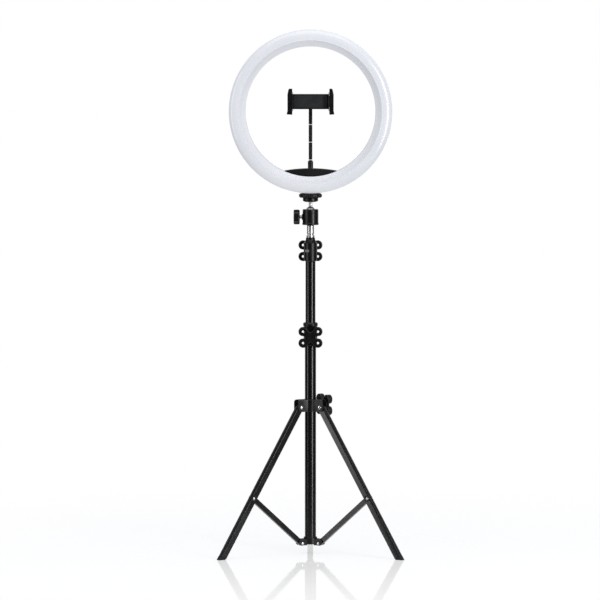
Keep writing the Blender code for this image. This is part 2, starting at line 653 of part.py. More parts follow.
def make_bottom_hub(parent, materials):
    """The fixed hub at the foot of the column, whose forks hold the braces' inner ends."""
    bore = LOWER_TUBE_RADIUS + TOUCH_GAP
    outer = bore + BOTTOM_HUB_WALL
    floor = BOTTOM_HUB_BASE + BOTTOM_HUB_FLOOR
    top = BOTTOM_HUB_BASE + BOTTOM_HUB_HEIGHT
    outline = [
        (0, BOTTOM_HUB_BASE),
        (outer - 2 * EDGE, BOTTOM_HUB_BASE),
        (outer, BOTTOM_HUB_BASE + 2 * EDGE),
        (outer, top - EDGE),
        (outer - EDGE, top),
        (bore, top),
        (bore, floor),
        (0, floor),
    ]
    hub = make_object("bottom_hub", turned(outline, TUBE_STEPS, closed=False),
                      materials["plastic"], parent)
    fork = BRACE_WIDTH / 2 + BRACE_FIT
    face = fork + BOTTOM_EAR_THICKNESS
    root = math.sqrt((bore + BOTTOM_HUB_WALL / 2) ** 2 - (fork + BOTTOM_EAR_THICKNESS / 2) ** 2)
    ears = ear_plates(BRACE_PIVOT_RADIUS + BOTTOM_EAR_MARGIN, BRACE_PIVOT_HEIGHT - BOTTOM_EAR_BELOW,
                      BRACE_PIVOT_HEIGHT + BOTTOM_EAR_ABOVE, fork, BOTTOM_EAR_THICKNESS, root,
                      BOTTOM_EAR_CORNER)
    combine(hub, ears, "UNION", "ears")
    heads = []
    for azimuth in LEG_AZIMUTHS.values():
        for side in (-1, 1):
            near, far = side * (face - EDGE), side * (face + RIVET_HEAD_HEIGHT)
            head = disc(BRACE_RIVET_HEAD_RADIUS, min(near, far), max(near, far), 12)
            place = spin_about("Z", azimuth) @ shift(BRACE_PIVOT_RADIUS, 0, BRACE_PIVOT_HEIGHT)
            heads.append(moved(head, place @ Z_TO_Y))
    combine(hub, merged(heads), "UNION", "rivet_heads")


def make_rivet(name, half_grip, head_radius, place, material, parent):
    """A rivet on Z with a domed head at each end."""
    crown = half_grip + TOUCH_GAP
    outline = [
        (0, -crown - RIVET_HEAD_HEIGHT),
        (head_radius * 0.60, -crown - RIVET_HEAD_HEIGHT * 0.85),
        (head_radius, -crown),
        (RIVET_RADIUS, -crown),
        (RIVET_RADIUS, crown),
        (head_radius, crown),
        (head_radius * 0.60, crown + RIVET_HEAD_HEIGHT * 0.85),
        (0, crown + RIVET_HEAD_HEIGHT),
    ]
    shape = moved(turned(outline, 10, closed=False), Z_TO_Y)
    rivet = make_object(name, shape, material)
    rivet.matrix_world = place
    return attach(rivet, parent)


def leg_channel():
    """The leg's U section in its own frame: X points outward, the open side faces the column."""
    x, y = LEG_DEPTH / 2, LEG_WIDTH / 2
    inner_corner = LEG_CORNER - LEG_WALL
    outline = [(-x, -y)]
    outline += arc((x - LEG_CORNER, -y + LEG_CORNER), LEG_CORNER, -90, 0, 4)
    outline += arc((x - LEG_CORNER, y - LEG_CORNER), LEG_CORNER, 0, 90, 4)
    outline += [(-x, y), (-x, y - LEG_WALL)]
    outline += arc((x - LEG_CORNER, y - LEG_CORNER), inner_corner, 90, 0, 3)
    outline += arc((x - LEG_CORNER, -y + LEG_CORNER), inner_corner, 0, -90, 3)
    outline.append((-x, -y + LEG_WALL))
    return outline


def make_leg(side, azimuth, hub_pivot, materials):
    """One leg with its foot, its rivets and its brace, all posed by empties on their hinges."""
    around = spin_about("Z", azimuth)
    lean = math.degrees(LEG_ANGLE)
    leg_place = shift(z=LEG_PIVOT_HEIGHT) @ around @ shift(LEG_PIVOT_RADIUS) @ spin_about("Y", -lean)
    pivot = make_pivot(f"leg_pivot_{side}", leg_place.translation, hub_pivot, leg_place.to_euler())

    corner_drop = LEG_DEPTH / 2 * math.tan(LEG_ANGLE)
    channel_end = -LEG_LENGTH + corner_drop + SOLE_CLEARANCE / math.cos(LEG_ANGLE)
    leg = make_object(f"leg_{side}", prism(leg_channel(), channel_end, LEG_ABOVE_PIVOT),
                      materials["powder"])
    leg.matrix_world = leg_place
    attach(leg, pivot)
    across = LEG_WIDTH / 2 + CUT_PAST
    holes = [
        moved(disc(RIVET_RADIUS + PIN_FIT, -across, across, 12), shift(z=height) @ Z_TO_Y)
        for height in (0, -BRACE_JOINT_DISTANCE)
    ]
    combine(leg, merged(holes), "DIFFERENCE", "rivet_holes")

    foot = make_object(f"foot_{side}", foot_shape(channel_end), materials["rubber"])
    foot.matrix_world = leg_place
    attach(foot, pivot)

    ear_face = LEG_WIDTH / 2 + HINGE_FIT + HUB_EAR_THICKNESS
    make_rivet(f"leg_rivet_{side}", ear_face, HUB_RIVET_HEAD_RADIUS, leg_place,
               materials["bright"], hub_pivot)
    joint = leg_place @ shift(z=-BRACE_JOINT_DISTANCE)
    make_rivet(f"brace_rivet_{side}", LEG_WIDTH / 2, BRACE_RIVET_HEAD_RADIUS, joint,
               materials["bright"], pivot)
    make_brace(side, around, pivot, materials)


def foot_shape(channel_end):
    """A rubber plug in the channel's end with a sole that is cut level with the ground."""
    outline = rounded_box_outline(LEG_DEPTH, LEG_WIDTH, LEG_CORNER * 0.8)
    plug_depth = LEG_DEPTH - LEG_WALL - 2 * TOUCH_GAP
    plug_width = LEG_WIDTH - 2 * (LEG_WALL + TOUCH_GAP)
    plug = rounded_box_outline(plug_depth, plug_width, 0.0010, 2)
    plug_x = -(LEG_WALL + 2 * TOUCH_GAP) / 2
    top = channel_end - TOUCH_GAP
    shape = bmesh.new()
    lower = [shape.verts.new((x, y, -LEG_LENGTH - LEG_DEPTH)) for x, y in outline]
    upper = [shape.verts.new((x, y, top)) for x, y in outline]
    for i, vert in enumerate(lower):
        after = (i + 1) % len(lower)
        shape.faces.new((vert, lower[after], upper[after], upper[i]))
    shape.faces.new(upper)
    shape.faces.new(lower)
    down = Vector((-math.sin(LEG_ANGLE), 0, -math.cos(LEG_ANGLE)))
    ground = (0, 0, -LEG_LENGTH)
    cut = bmesh.ops.bisect_plane(shape, geom=shape.verts[:] + shape.edges[:] + shape.faces[:],
                                 plane_co=ground, plane_no=down, clear_outer=True)
    rim = [part for part in cut["geom_cut"] if isinstance(part, bmesh.types.BMEdge)]
    bmesh.ops.contextual_create(shape, geom=rim)
    tongue = moved(prism(plug, top - EDGE, channel_end + FOOT_PLUG_LENGTH), shift(plug_x))
    return united(shape, tongue)


def united(first, second):
    """Joins two overlapping closed shapes into one through a throwaway Boolean."""
    base = make_object("first", first, bpy.data.materials[0])
    other = make_object("second", second, bpy.data.materials[0])
    modifier = base.modifiers.new("union", "BOOLEAN")
    modifier.operation = "UNION"
    modifier.object = other
    view = bpy.context.evaluated_depsgraph_get()
    whole = bmesh.new()
    whole.from_mesh(base.evaluated_get(view).to_mesh())
    bpy.data.objects.remove(base)
    bpy.data.objects.remove(other)
    return whole


def make_brace(side, around, leg_pivot, materials):
    """The brace from the leg's channel down to the bottom hub."""
    place = (around @ shift(JOINT_RADIUS, 0, JOINT_HEIGHT)
             @ spin_about("Y", math.degrees(BRACE_ANGLE)))
    pivot = make_pivot(f"brace_pivot_{side}", place.translation, leg_pivot, place.to_euler())
    half = BRACE_DEPTH / 2
    outline = arc((0, 0), half, 90, -90, 8) + arc((-BRACE_LENGTH, 0), half, -90, -270, 8)
    bar = prism(outline, -BRACE_WIDTH / 2, BRACE_WIDTH / 2)
    # The outline runs back along -X, so it is stood up to run down along -Z.
    stand = Matrix(((0, 1, 0, 0), (0, 0, 1, 0), (1, 0, 0, 0), (0, 0, 0, 1)))
    brace = make_object(f"brace_{side}", moved(bar, stand), materials["powder"])
    brace.matrix_world = place
    attach(brace, pivot)
    inner = BRACE_WIDTH / 2 - BRACE_WALL
    trough = prism([(-half - CUT_PAST, -inner), (half - BRACE_WALL, -inner),
                    (half - BRACE_WALL, inner), (-half - CUT_PAST, inner)],
                   -BRACE_LENGTH + BRACE_END_LENGTH, -BRACE_END_LENGTH)
    combine(brace, trough, "DIFFERENCE", "trough")
    hole = moved(disc(RIVET_RADIUS + PIN_FIT, -BRACE_WIDTH, BRACE_WIDTH, 12), Z_TO_Y)
    combine(brace, hole, "DIFFERENCE", "rivet_hole")


def make_tripod(rig, materials):
    make_bottom_hub(rig, materials)
    hub_pivot = make_pivot("leg_hub_slide", (0, 0, LEG_PIVOT_HEIGHT), rig)
    make_leg_hub(hub_pivot, materials)
    for side, azimuth in LEG_AZIMUTHS.items():
        make_leg(side, azimuth, hub_pivot, materials)


# ---------------------------------------------------------------- ball head


def make_ball_head(parent, materials):
    make_spigot(parent, materials)
    make_ball_housing(parent, materials)
    centre = (0, 0, BALL_HEIGHT)
    pan = make_pivot("ball_pan", centre, parent)
    make_friction_cup(pan, materials)
    tilt = make_pivot("ball_tilt", centre, pan)
    make_ball_and_stem(tilt, materials)
    make_lock_wheel(tilt, materials)
    make_ball_knob(parent, materials)
    return make_pivot("head_turn", (0, 0, RING_BOTTOM), tilt)


def make_spigot(parent, materials):
    tip = HOUSING_BOTTOM + SPIGOT_STUD_LENGTH
    groove = SPIGOT_RADIUS - SPIGOT_GROOVE_DEPTH
    waist = SPIGOT_BOTTOM + 0.27 * SPIGOT_HEIGHT
    top = SPIGOT_BOTTOM + SPIGOT_HEIGHT
    outline = [
        (0, SPIGOT_BOTTOM - SPIGOT_TENON_DEPTH),
        (SPIGOT_TENON_RADIUS, SPIGOT_BOTTOM - SPIGOT_TENON_DEPTH),
        (SPIGOT_TENON_RADIUS, SPIGOT_BOTTOM),
        (SPIGOT_FOOT_RADIUS, SPIGOT_BOTTOM),
        (SPIGOT_FOOT_RADIUS, waist - 4 * EDGE),
        (groove, waist - 2 * EDGE),
        (groove, waist),
        (SPIGOT_RADIUS, waist + EDGE),
        (SPIGOT_RADIUS, top - EDGE),
        (SPIGOT_RADIUS - EDGE, top),
        (STUD_RADIUS, top),
        (STUD_RADIUS, tip),
        (0, tip),
    ]
    make_object("spigot", turned(outline, 18, closed=False), materials["bright"], parent,
                (0, 0, SPIGOT_BOTTOM))


def make_ball_housing(parent, materials):
    """The cup-shaped housing: ball seat above, bore for the cup, tapped hole below."""
    floor = HOUSING_BOTTOM + HOUSING_FLOOR
    hole = STUD_RADIUS + PIN_FIT
    lip_top = HOUSING_BOTTOM + HOUSING_FLOOR / 2
    rim_angle = math.degrees(math.asin(BALL_BELOW_RIM / BALL_SEAT_RADIUS))
    outline = [
        (hole, HOUSING_BOTTOM),
        (HOUSING_LIP_RADIUS - EDGE, HOUSING_BOTTOM),
        (HOUSING_LIP_RADIUS, HOUSING_BOTTOM + EDGE),
        (HOUSING_LIP_RADIUS, lip_top),
        (HOUSING_RADIUS, lip_top + HOUSING_LIP),
        (HOUSING_RADIUS, HOUSING_RIM - 2 * EDGE),
        (HOUSING_RADIUS - 2 * EDGE, HOUSING_RIM),
    ]
    outline += arc((0, BALL_HEIGHT), BALL_SEAT_RADIUS, rim_angle, 0, 4)
    outline += [(CUP_BORE, BALL_HEIGHT - EDGE), (CUP_BORE, floor), (hole, floor)]
    housing = make_object("ball_housing", turned(outline, 24), materials["plastic"], parent,
                          (0, 0, BALL_HEIGHT))
    half = HOUSING_NOTCH_WIDTH / 2
    low = BALL_BELOW_RIM - HOUSING_NOTCH_DEPTH + half
    notch = [(half, BALL_BELOW_RIM + CUT_PAST), (-half, BALL_BELOW_RIM + CUT_PAST)]
    notch += arc((0, low), half, 180, 360, 8)
    cutter = moved(prism(notch, -HOUSING_LIP_RADIUS - CUT_PAST, -STEM_RADIUS), UPRIGHT)
    combine(housing, cutter, "DIFFERENCE", "side_notch")
    screw_hole = disc(BALL_SCREW_RADIUS + PIN_FIT, -HOUSING_LIP_RADIUS - CUT_PAST, 0, 14)
    drop = BALL_KNOB_HEIGHT - BALL_HEIGHT
    combine(housing, moved(screw_hole, shift(z=drop) @ Z_TO_X), "DIFFERENCE", "screw_hole")


def make_friction_cup(parent, materials):
    """The nylon cup that the screw presses up against the ball."""
    floor = HOUSING_BOTTOM + HOUSING_FLOOR + TOUCH_GAP
    bowl = arc((0, BALL_HEIGHT), BALL_SEAT_RADIUS, -26, -90, 6)
    outline = [(0, floor), (CUP_RADIUS, floor), (CUP_RADIUS, bowl[0][1])]
    outline += bowl[:-1] + [(0, BALL_HEIGHT - BALL_SEAT_RADIUS)]
    make_object("friction_cup", turned(outline, 16, closed=False), materials["board"], parent,
                (0, 0, BALL_HEIGHT))


def make_ball_and_stem(parent, materials):
    meet = math.degrees(math.acos((STEM_RADIUS + EDGE) / BALL_RADIUS))
    outline = [(0, BALL_HEIGHT - BALL_RADIUS)]
    outline += arc((0, BALL_HEIGHT), BALL_RADIUS, -72, meet, 7)
    outline += [
        (STEM_RADIUS, BALL_HEIGHT + BALL_RADIUS + 2 * EDGE),
        (STEM_RADIUS, FLANGE_BOTTOM + STEM_FLANGE_HEIGHT),
        (STUD_RADIUS, FLANGE_BOTTOM + STEM_FLANGE_HEIGHT + TOUCH_GAP),
        (STUD_RADIUS, RING_BOTTOM + STUD_LENGTH - EDGE),
        (STUD_RADIUS - EDGE, RING_BOTTOM + STUD_LENGTH),
        (0, RING_BOTTOM + STUD_LENGTH),
    ]
    make_object("ball_and_stem", turned(outline, 18, closed=False), materials["bright"], parent,
                (0, 0, BALL_HEIGHT))
    bore = STEM_RADIUS + TOUCH_GAP
    low, high = FLANGE_BOTTOM, FLANGE_BOTTOM + STEM_FLANGE_HEIGHT
    flange = [
        (bore, low),
        (STEM_FLANGE_RADIUS * 0.72, low),
        (STEM_FLANGE_RADIUS, low + STEM_FLANGE_HEIGHT / 4),
        (STEM_FLANGE_RADIUS, high - EDGE),
        (STEM_FLANGE_RADIUS - EDGE, high),
        (bore, high),
    ]
    make_object("stem_flange", turned(flange, 20), materials["plastic"], parent,
                (0, 0, BALL_HEIGHT))


def make_lock_wheel(parent, materials):
    """The knurled wheel that locks the ring on the stud, and its rubber disc."""
    bore = STUD_RADIUS + PIN_FIT
    pivot = make_pivot("lock_wheel_turn", (0, 0, WHEEL_BOTTOM), parent)
    low, high = WHEEL_BOTTOM, WHEEL_BOTTOM + WHEEL_HEIGHT
    outline = [
        (bore, low),
        (WHEEL_RADIUS - 7 * EDGE, low),
        (WHEEL_RADIUS - 2 * EDGE, low + EDGE),
        (WHEEL_RADIUS, low + 4 * EDGE),
        (WHEEL_RADIUS, high - EDGE),
        (WHEEL_RADIUS - EDGE, high),
        (bore, high),
    ]
    shape = turned(outline, 2 * WHEEL_GROOVES)
    for vert in shape.verts:
        reach = math.hypot(vert.co.x, vert.co.y)
        place = round(math.atan2(vert.co.y, vert.co.x) / math.pi * WHEEL_GROOVES)
        if reach > WHEEL_RADIUS - 3 * EDGE and place % 2:
            vert.co.x *= 1 - WHEEL_GROOVE_DEPTH / reach
            vert.co.y *= 1 - WHEEL_GROOVE_DEPTH / reach
    make_object("lock_wheel", shape, materials["plastic"], pivot, (0, 0, WHEEL_BOTTOM))
    pad = [
        (bore, PAD_BOTTOM),
        (WHEEL_RADIUS - WHEEL_PAD_INSET, PAD_BOTTOM),
        (WHEEL_RADIUS - WHEEL_PAD_INSET, PAD_BOTTOM + WHEEL_PAD_HEIGHT),
        (bore, PAD_BOTTOM + WHEEL_PAD_HEIGHT),
    ]
    make_object("wheel_pad", turned(pad, 20), materials["rubber"], pivot, (0, 0, WHEEL_BOTTOM))


def make_ball_knob(parent, materials):
    """The six-lobed knob with a domed face, on the left of the housing."""
    place = (0, 0, BALL_KNOB_HEIGHT)
    pivot = make_pivot("ball_lock_knob_pivot", place, parent)
    start = HOUSING_RADIUS + BALL_KNOB_STANDOFF
    screw_end = start + BALL_KNOB_THICKNESS - BALL_SCREW_GRIP
    outward = shift(z=BALL_KNOB_HEIGHT) @ spin_about("Z", 180) @ Z_TO_X
    screw = moved(disc(BALL_SCREW_RADIUS, CUP_BORE, screw_end, 14), outward)
    make_object("ball_lock_screw", screw, materials["bright"], pivot, place)

    # Each layer is the lobed outline at its own share of the radius and of the thickness.
    layers = [(0.80, 0.0), (0.94, 0.06), (1.0, 0.16), (1.0, 0.62), (0.93, 0.82), (0.74, 0.94),
              (0.40, 1.0)]
    count = BALL_KNOB_STEPS
    shape = bmesh.new()
    rings = []
    for scale, depth in layers:
        ring = []
        for i in range(count):
            angle = math.tau * i / count
            wave = (1 - math.cos(BALL_KNOB_LOBES * angle)) * BALL_KNOB_LOBE_DEPTH
            reach = scale * (BALL_KNOB_RADIUS - wave)
            ring.append(shape.verts.new((reach * math.cos(angle), reach * math.sin(angle),
                                         start + depth * BALL_KNOB_THICKNESS)))
        rings.append(ring)
    for low, high in zip(rings, rings[1:]):
        for i in range(count):
            after = (i + 1) % count
            shape.faces.new((low[i], low[after], high[after], high[i]))
    shape.faces.new(rings[0])
    shape.faces.new(rings[-1])
    knob = make_object("ball_lock_knob", moved(shape, outward), materials["plastic"], pivot, place)
    socket = disc(BALL_SCREW_RADIUS + PIN_FIT, start - CUT_PAST, screw_end + TOUCH_GAP, 14)
    combine(knob, moved(socket, spin_about("Z", 180) @ Z_TO_X), "DIFFERENCE", "socket")


# ---------------------------------------------------------------- ring


def ring_turned(outline, steps=RING_STEPS):
    """Spins a section of (radius, distance behind the seam) round the ring's own axis."""
    return moved(turned(outline, steps), shift(0, RING_SEAM_Y, RING_CENTRE) @ Z_TO_Y)


def make_ring(parent, materials):
    origin = (0, 0, RING_CENTRE)
    edge = TOUCH_GAP / 2
    crown = RING_FRONT_DEPTH - RING_SIDE_DEPTH
    outer_size = (RING_OUTER_RADIUS - RING_CROWN_RADIUS, crown)
    inner_size = (outer_size[0] - RING_WALL, crown - RING_WALL)
    centre = (RING_CROWN_RADIUS, -RING_SIDE_DEPTH)
    face = [(RING_OUTER_RADIUS, -edge)] + arc(centre, outer_size, 0, -104, 8)
    face.append((RING_INNER_RADIUS, -edge))
    inside = [(RING_INNER_RADIUS + RING_WALL, -edge)]
    inside += arc(centre, inner_size, -104, 0, 4)
    inside.append((RING_OUTER_RADIUS - RING_WALL, -edge))
    make_object("diffuser", ring_turned(face + inside), materials["diffuser"], parent, origin, 25)

    make_housing(parent, materials, origin)
    near, far = BOARD_OFFSET, BOARD_OFFSET + BOARD_THICKNESS
    small = RING_INNER_RADIUS + RING_WALL + BOARD_MARGIN
    large = RING_OUTER_RADIUS - RING_WALL - TOUCH_GAP
    board = [(small, near), (large, near), (large, far), (small, far)]
    make_object("led_board", ring_turned(board, 32), materials["board"], parent, origin)


def around_ring(shape, angle, radius):
    """Puts a shape drawn on Z, with Z pointing backwards, at an angle of the ring's back."""
    x = radius * math.cos(math.radians(angle))
    z = radius * math.sin(math.radians(angle))
    return moved(shape, shift(x, 0, z) @ Z_TO_Y)


def make_housing(parent, materials, origin):
    edge = TOUCH_GAP / 2
    depth = RING_BACK_DEPTH
    corner = RING_BACK_CORNER
    inner_corner = corner - RING_WALL
    back = [(RING_OUTER_RADIUS, edge)]
    back += arc((RING_OUTER_RADIUS - corner, depth - corner), corner, 0, 90, 3)
    back += arc((RING_INNER_RADIUS + corner, depth - corner), corner, 90, 180, 3)
    back.append((RING_INNER_RADIUS, edge))
    back.append((RING_INNER_RADIUS + RING_WALL, edge))
    back += arc((RING_INNER_RADIUS + corner, depth - corner), inner_corner, 180, 90, 2)
    back += arc((RING_OUTER_RADIUS - corner, depth - corner), inner_corner, 90, 0, 2)
    back.append((RING_OUTER_RADIUS - RING_WALL, edge))
    housing = make_object("back_housing", ring_turned(back), materials["plastic"], parent, origin,
                          25)

    boss = disc(BASE_BOSS_RADIUS, -RING_OUTER_RADIUS, -RING_OUTER_RADIUS + BASE_BOSS_HEIGHT, 20)
    combine(housing, boss, "UNION", "base_boss")
    insert = STUD_RADIUS + PIN_FIT + INSERT_WALL + TOUCH_GAP
    insert_top = -RING_OUTER_RADIUS + STUD_LENGTH + 3 * TOUCH_GAP
    combine(housing, disc(insert, -RING_OUTER_RADIUS - CUT_PAST, insert_top, 20), "DIFFERENCE",
            "insert_bore")

    bottom = -RING_OUTER_RADIUS + TOUCH_GAP
    bore = STUD_RADIUS + PIN_FIT
    wall = bore + INSERT_WALL
    sleeve = [(wall, bottom), (wall, insert_top - TOUCH_GAP), (bore, insert_top - TOUCH_GAP),
              (bore, bottom)]
    make_object("thread_insert", moved(turned(sleeve, 20), shift(z=RING_CENTRE)),
                materials["brass"], parent, origin)

    inside, outside = RING_BACK_Y - corner, RING_BACK_Y + CUT_PAST
    holes = []
    for angle in list(HOUSING_SCREW_ANGLES.values()) + list(BRACKET_SCREW_ANGLES.values()):
        hole = disc(SCREW_RADIUS + PIN_FIT, inside, outside, 10)
        holes.append(around_ring(hole, angle, SCREW_CIRCLE))
    gland_hole = disc(GLAND_NECK_RADIUS + PIN_FIT, inside, outside, 14)
    holes.append(around_ring(gland_hole, GLAND_ANGLE, SCREW_CIRCLE))
    combine(housing, merged(holes), "DIFFERENCE", "holes")

    for side, angle in HOUSING_SCREW_ANGLES.items():
        make_small_screw(f"housing_screw_{side}", angle, RING_BACK_Y, parent, materials)
    flange_back = RING_BACK_Y + TOUCH_GAP + FLANGE_THICKNESS
    for side, angle in BRACKET_SCREW_ANGLES.items():
        make_small_screw(f"bracket_screw_{side}", angle, flange_back, parent, materials)
    make_gland(parent, materials)


def make_small_screw(name, angle, face_y, parent, materials):
    seat = face_y + TOUCH_GAP
    outline = [
        (0, seat - SCREW_LENGTH),
        (SCREW_RADIUS, seat - SCREW_LENGTH + EDGE),
        (SCREW_RADIUS, seat),
        (SCREW_HEAD_RADIUS, seat),
        (SCREW_HEAD_RADIUS, seat + SCREW_HEAD_HEIGHT * 0.5),
        (SCREW_HEAD_RADIUS * 0.6, seat + SCREW_HEAD_HEIGHT),
        (0, seat + SCREW_HEAD_HEIGHT),
    ]
    shape = around_ring(turned(outline, 8, closed=False), angle, SCREW_CIRCLE)
    make_object(name, moved(shape, shift(z=RING_CENTRE)), materials["plastic"], parent,
                (0, 0, RING_CENTRE))


def make_gland(parent, materials):
    """The strain relief that the lead leaves through."""
    inside = RING_BACK_Y - RING_WALL
    seat = RING_BACK_Y + TOUCH_GAP
    tip = RING_BACK_Y + GLAND_REACH
    outline = [
        (GLAND_BORE, inside),
        (GLAND_NECK_RADIUS, inside),
        (GLAND_NECK_RADIUS, seat),
        (GLAND_FLANGE_RADIUS, seat),
        (GLAND_FLANGE_RADIUS, seat + RING_WALL),
        (GLAND_NECK_RADIUS + EDGE, seat + RING_WALL + EDGE),
        (GLAND_NECK_RADIUS + EDGE / 2, tip),
        (GLAND_BORE, tip),
    ]
    shape = around_ring(turned(outline, 12), GLAND_ANGLE, SCREW_CIRCLE)
    make_object("cable_gland", moved(shape, shift(z=RING_CENTRE)), materials["rubber"], parent,
                (0, 0, RING_CENTRE))


# ---------------------------------------------------------------- bracket, neck and clamp


def make_bracket(parent, materials):
    """The crescent shelf in the ring's hole and the flange that screws it to the back."""
    origin = (0, 0, RING_CENTRE)
    radius = RING_INNER_RADIUS - TOUCH_GAP
    half_angle = math.degrees(math.asin(BRACKET_HALF_WIDTH / radius))
    shoulder = -math.sqrt(radius ** 2 - BRACKET_HALF_WIDTH ** 2)
    crown = FERRULE_BOTTOM - TOUCH_GAP - RING_CENTRE
    outline = arc((0, 0), radius, -90 - half_angle, -90 + half_angle, 16)
    rise = crown - shoulder
    big = (BRACKET_HALF_WIDTH ** 2 + rise ** 2) / (2 * rise)
    spread = math.degrees(math.asin(BRACKET_HALF_WIDTH / big))
    outline += arc((0, crown - big), big, 90 - spread, 90 + spread, 10)[1:-1]
    back_y = RING_BACK_Y + TOUCH_GAP
    front_y = back_y - BRACKET_DEPTH
    # Drawn upright, the prism's height runs towards the viewer, so it is given as -Y.
    shelf = moved(prism(outline, -back_y - FLANGE_THICKNESS, -front_y), UPRIGHT)
    bracket = make_object("holder_bracket", moved(shelf, shift(z=RING_CENTRE)),
                          materials["plastic"], parent, origin, 30)
    add_bevel(bracket, 0.0008, 2, 60)
    low, high = radius - FLANGE_MARGIN, SCREW_CIRCLE + FLANGE_MARGIN
    first, last = -90 - FLANGE_HALF_ANGLE, -90 + FLANGE_HALF_ANGLE
    flange = arc((0, 0), high, first, last, 8) + arc((0, 0), low, last, first, 8)
    plate = moved(prism(flange, -back_y - FLANGE_THICKNESS, -back_y), UPRIGHT)
    combine(bracket, plate, "UNION", "flange")
    holes = [
        around_ring(disc(SCREW_RADIUS + PIN_FIT, back_y - CUT_PAST,
                         back_y + FLANGE_THICKNESS + CUT_PAST, 10), angle, SCREW_CIRCLE)
        for angle in BRACKET_SCREW_ANGLES.values()
    ]
    combine(bracket, merged(holes), "DIFFERENCE", "screw_holes")


def make_neck(parent, materials):
    """The ferrule, three corrugated lengths, each hinged on the one below, and the elbow."""
    low, high = FERRULE_BOTTOM, FERRULE_BOTTOM + NECK_FERRULE_HEIGHT
    outline = [
        (0, low),
        (NECK_FERRULE_RADIUS, low),
        (NECK_FERRULE_RADIUS, high - NECK_RADIUS),
        (NECK_RADIUS, high - EDGE),
        (0, high),
    ]
    make_object("neck_base", moved(turned(outline, 16, closed=False), shift(y=NECK_Y)),
                materials["bright"], parent, (0, NECK_Y, low))
    length = NECK_LENGTH / NECK_SEGMENTS
    above = parent
    for i, place in enumerate(("lower", "middle", "upper")):
        start = NECK_BOTTOM + i * length
        end = start + length - TOUCH_GAP
        above = make_pivot(f"neck_bend_{i + 1}", (0, NECK_Y, start), above)
        outline = [(0, start), (NECK_RADIUS, start + NECK_BEND_RELIEF)]
        pitch = (length - TOUCH_GAP - 2 * NECK_BEND_RELIEF) / NECK_RIBS
        for rib in range(1, NECK_RIBS):
            middle = start + NECK_BEND_RELIEF + rib * pitch
            outline += [(NECK_RADIUS, middle - NECK_RIB_DEPTH),
                        (NECK_RADIUS - NECK_RIB_DEPTH, middle),
                        (NECK_RADIUS, middle + NECK_RIB_DEPTH)]
        outline += [(NECK_RADIUS, end - NECK_BEND_RELIEF), (0, end)]
        make_object(f"neck_{place}", moved(turned(outline, 12, closed=False), shift(y=NECK_Y)),
                    materials["neck"], above, (0, NECK_Y, start))
    return make_elbow(above, materials)


def make_elbow(parent, materials):
    """The fitting on the neck's end: an upright barrel with a ball on its front."""
    low = NECK_TOP
    high = CLAMP_CENTRE + ELBOW_RISE
    pivot = make_pivot("neck_bend_4", (0, NECK_Y, low), parent)
    outline = [
        (0, low),
        (NECK_RADIUS, low + NECK_BEND_RELIEF),
        (ELBOW_RADIUS, low + NECK_BEND_RELIEF + ELBOW_RADIUS - NECK_RADIUS),
        (ELBOW_RADIUS, high - 2 * EDGE),
        (ELBOW_RADIUS - 2 * EDGE, high),
        (0, high),
    ]
    barrel = make_object("neck_elbow",
                         moved(turned(outline, 16, closed=False), shift(y=NECK_Y)),
                         materials["plastic"], pivot, (0, NECK_Y, low))
    centre = SWIVEL_Y - NECK_Y
    stub = SWIVEL_STUB_RADIUS
    meet = math.degrees(math.acos(stub / SWIVEL_BALL_RADIUS))
    ball = [(0, centre - SWIVEL_BALL_RADIUS)]
    ball += arc((0, centre), SWIVEL_BALL_RADIUS, -70, meet, 6)
    ball += [(stub, 0), (0, 0)]
    lift = shift(z=CLAMP_CENTRE - low)
    combine(barrel, moved(turned(ball, 16, closed=False), lift @ Z_TO_Y), "UNION", "ball")
    return pivot


def make_swivel_nut(parent, materials):
    """The nut that pulls the clamp's socket on to the ball."""
    centre = (0, SWIVEL_Y, CLAMP_CENTRE)
    pivot = make_pivot("holder_tilt", centre, parent)
    back, front = SWIVEL_NUT_BACK, SWIVEL_NUT_FRONT
    mouth = SWIVEL_STUB_RADIUS + 2 * EDGE
    inside = SWIVEL_BALL_RADIUS + SOCKET_FIT
    outline = [
        (mouth, back),
        (SWIVEL_NUT_RADIUS - 2 * EDGE, back),
        (SWIVEL_NUT_RADIUS, back - 2 * EDGE),
        (SWIVEL_NUT_RADIUS, front),
        (inside, front),
        (inside, back - SWIVEL_NUT_WALL),
        (mouth, back - SWIVEL_NUT_WALL),
    ]
    shape = moved(turned(outline, 16), Matrix.Translation(centre) @ Z_TO_Y)
    make_object("swivel_nut", shape, materials["plastic"], pivot, centre)
    return pivot


def jaw_outline(side, inner):
    """A jaw seen from the front: flat inner face, flared foot and narrower head."""
    half = JAW_HEIGHT / 2
    outer = CLAMP_WIDTH / 2 + JAW_WIDTH
    points = [
        (inner, -half + EDGE),
        (inner + EDGE, -half),
        (outer + 2 * EDGE, -half + EDGE),
        (outer, -half * 0.70),
        (outer, half * 0.55),
        (outer - 0.22 * JAW_WIDTH, half * 0.94),
        (outer - 0.42 * JAW_WIDTH, half),
        (inner + EDGE, half),
        (inner, half - EDGE),
    ]
    return [(side * x, z) for x, z in points]


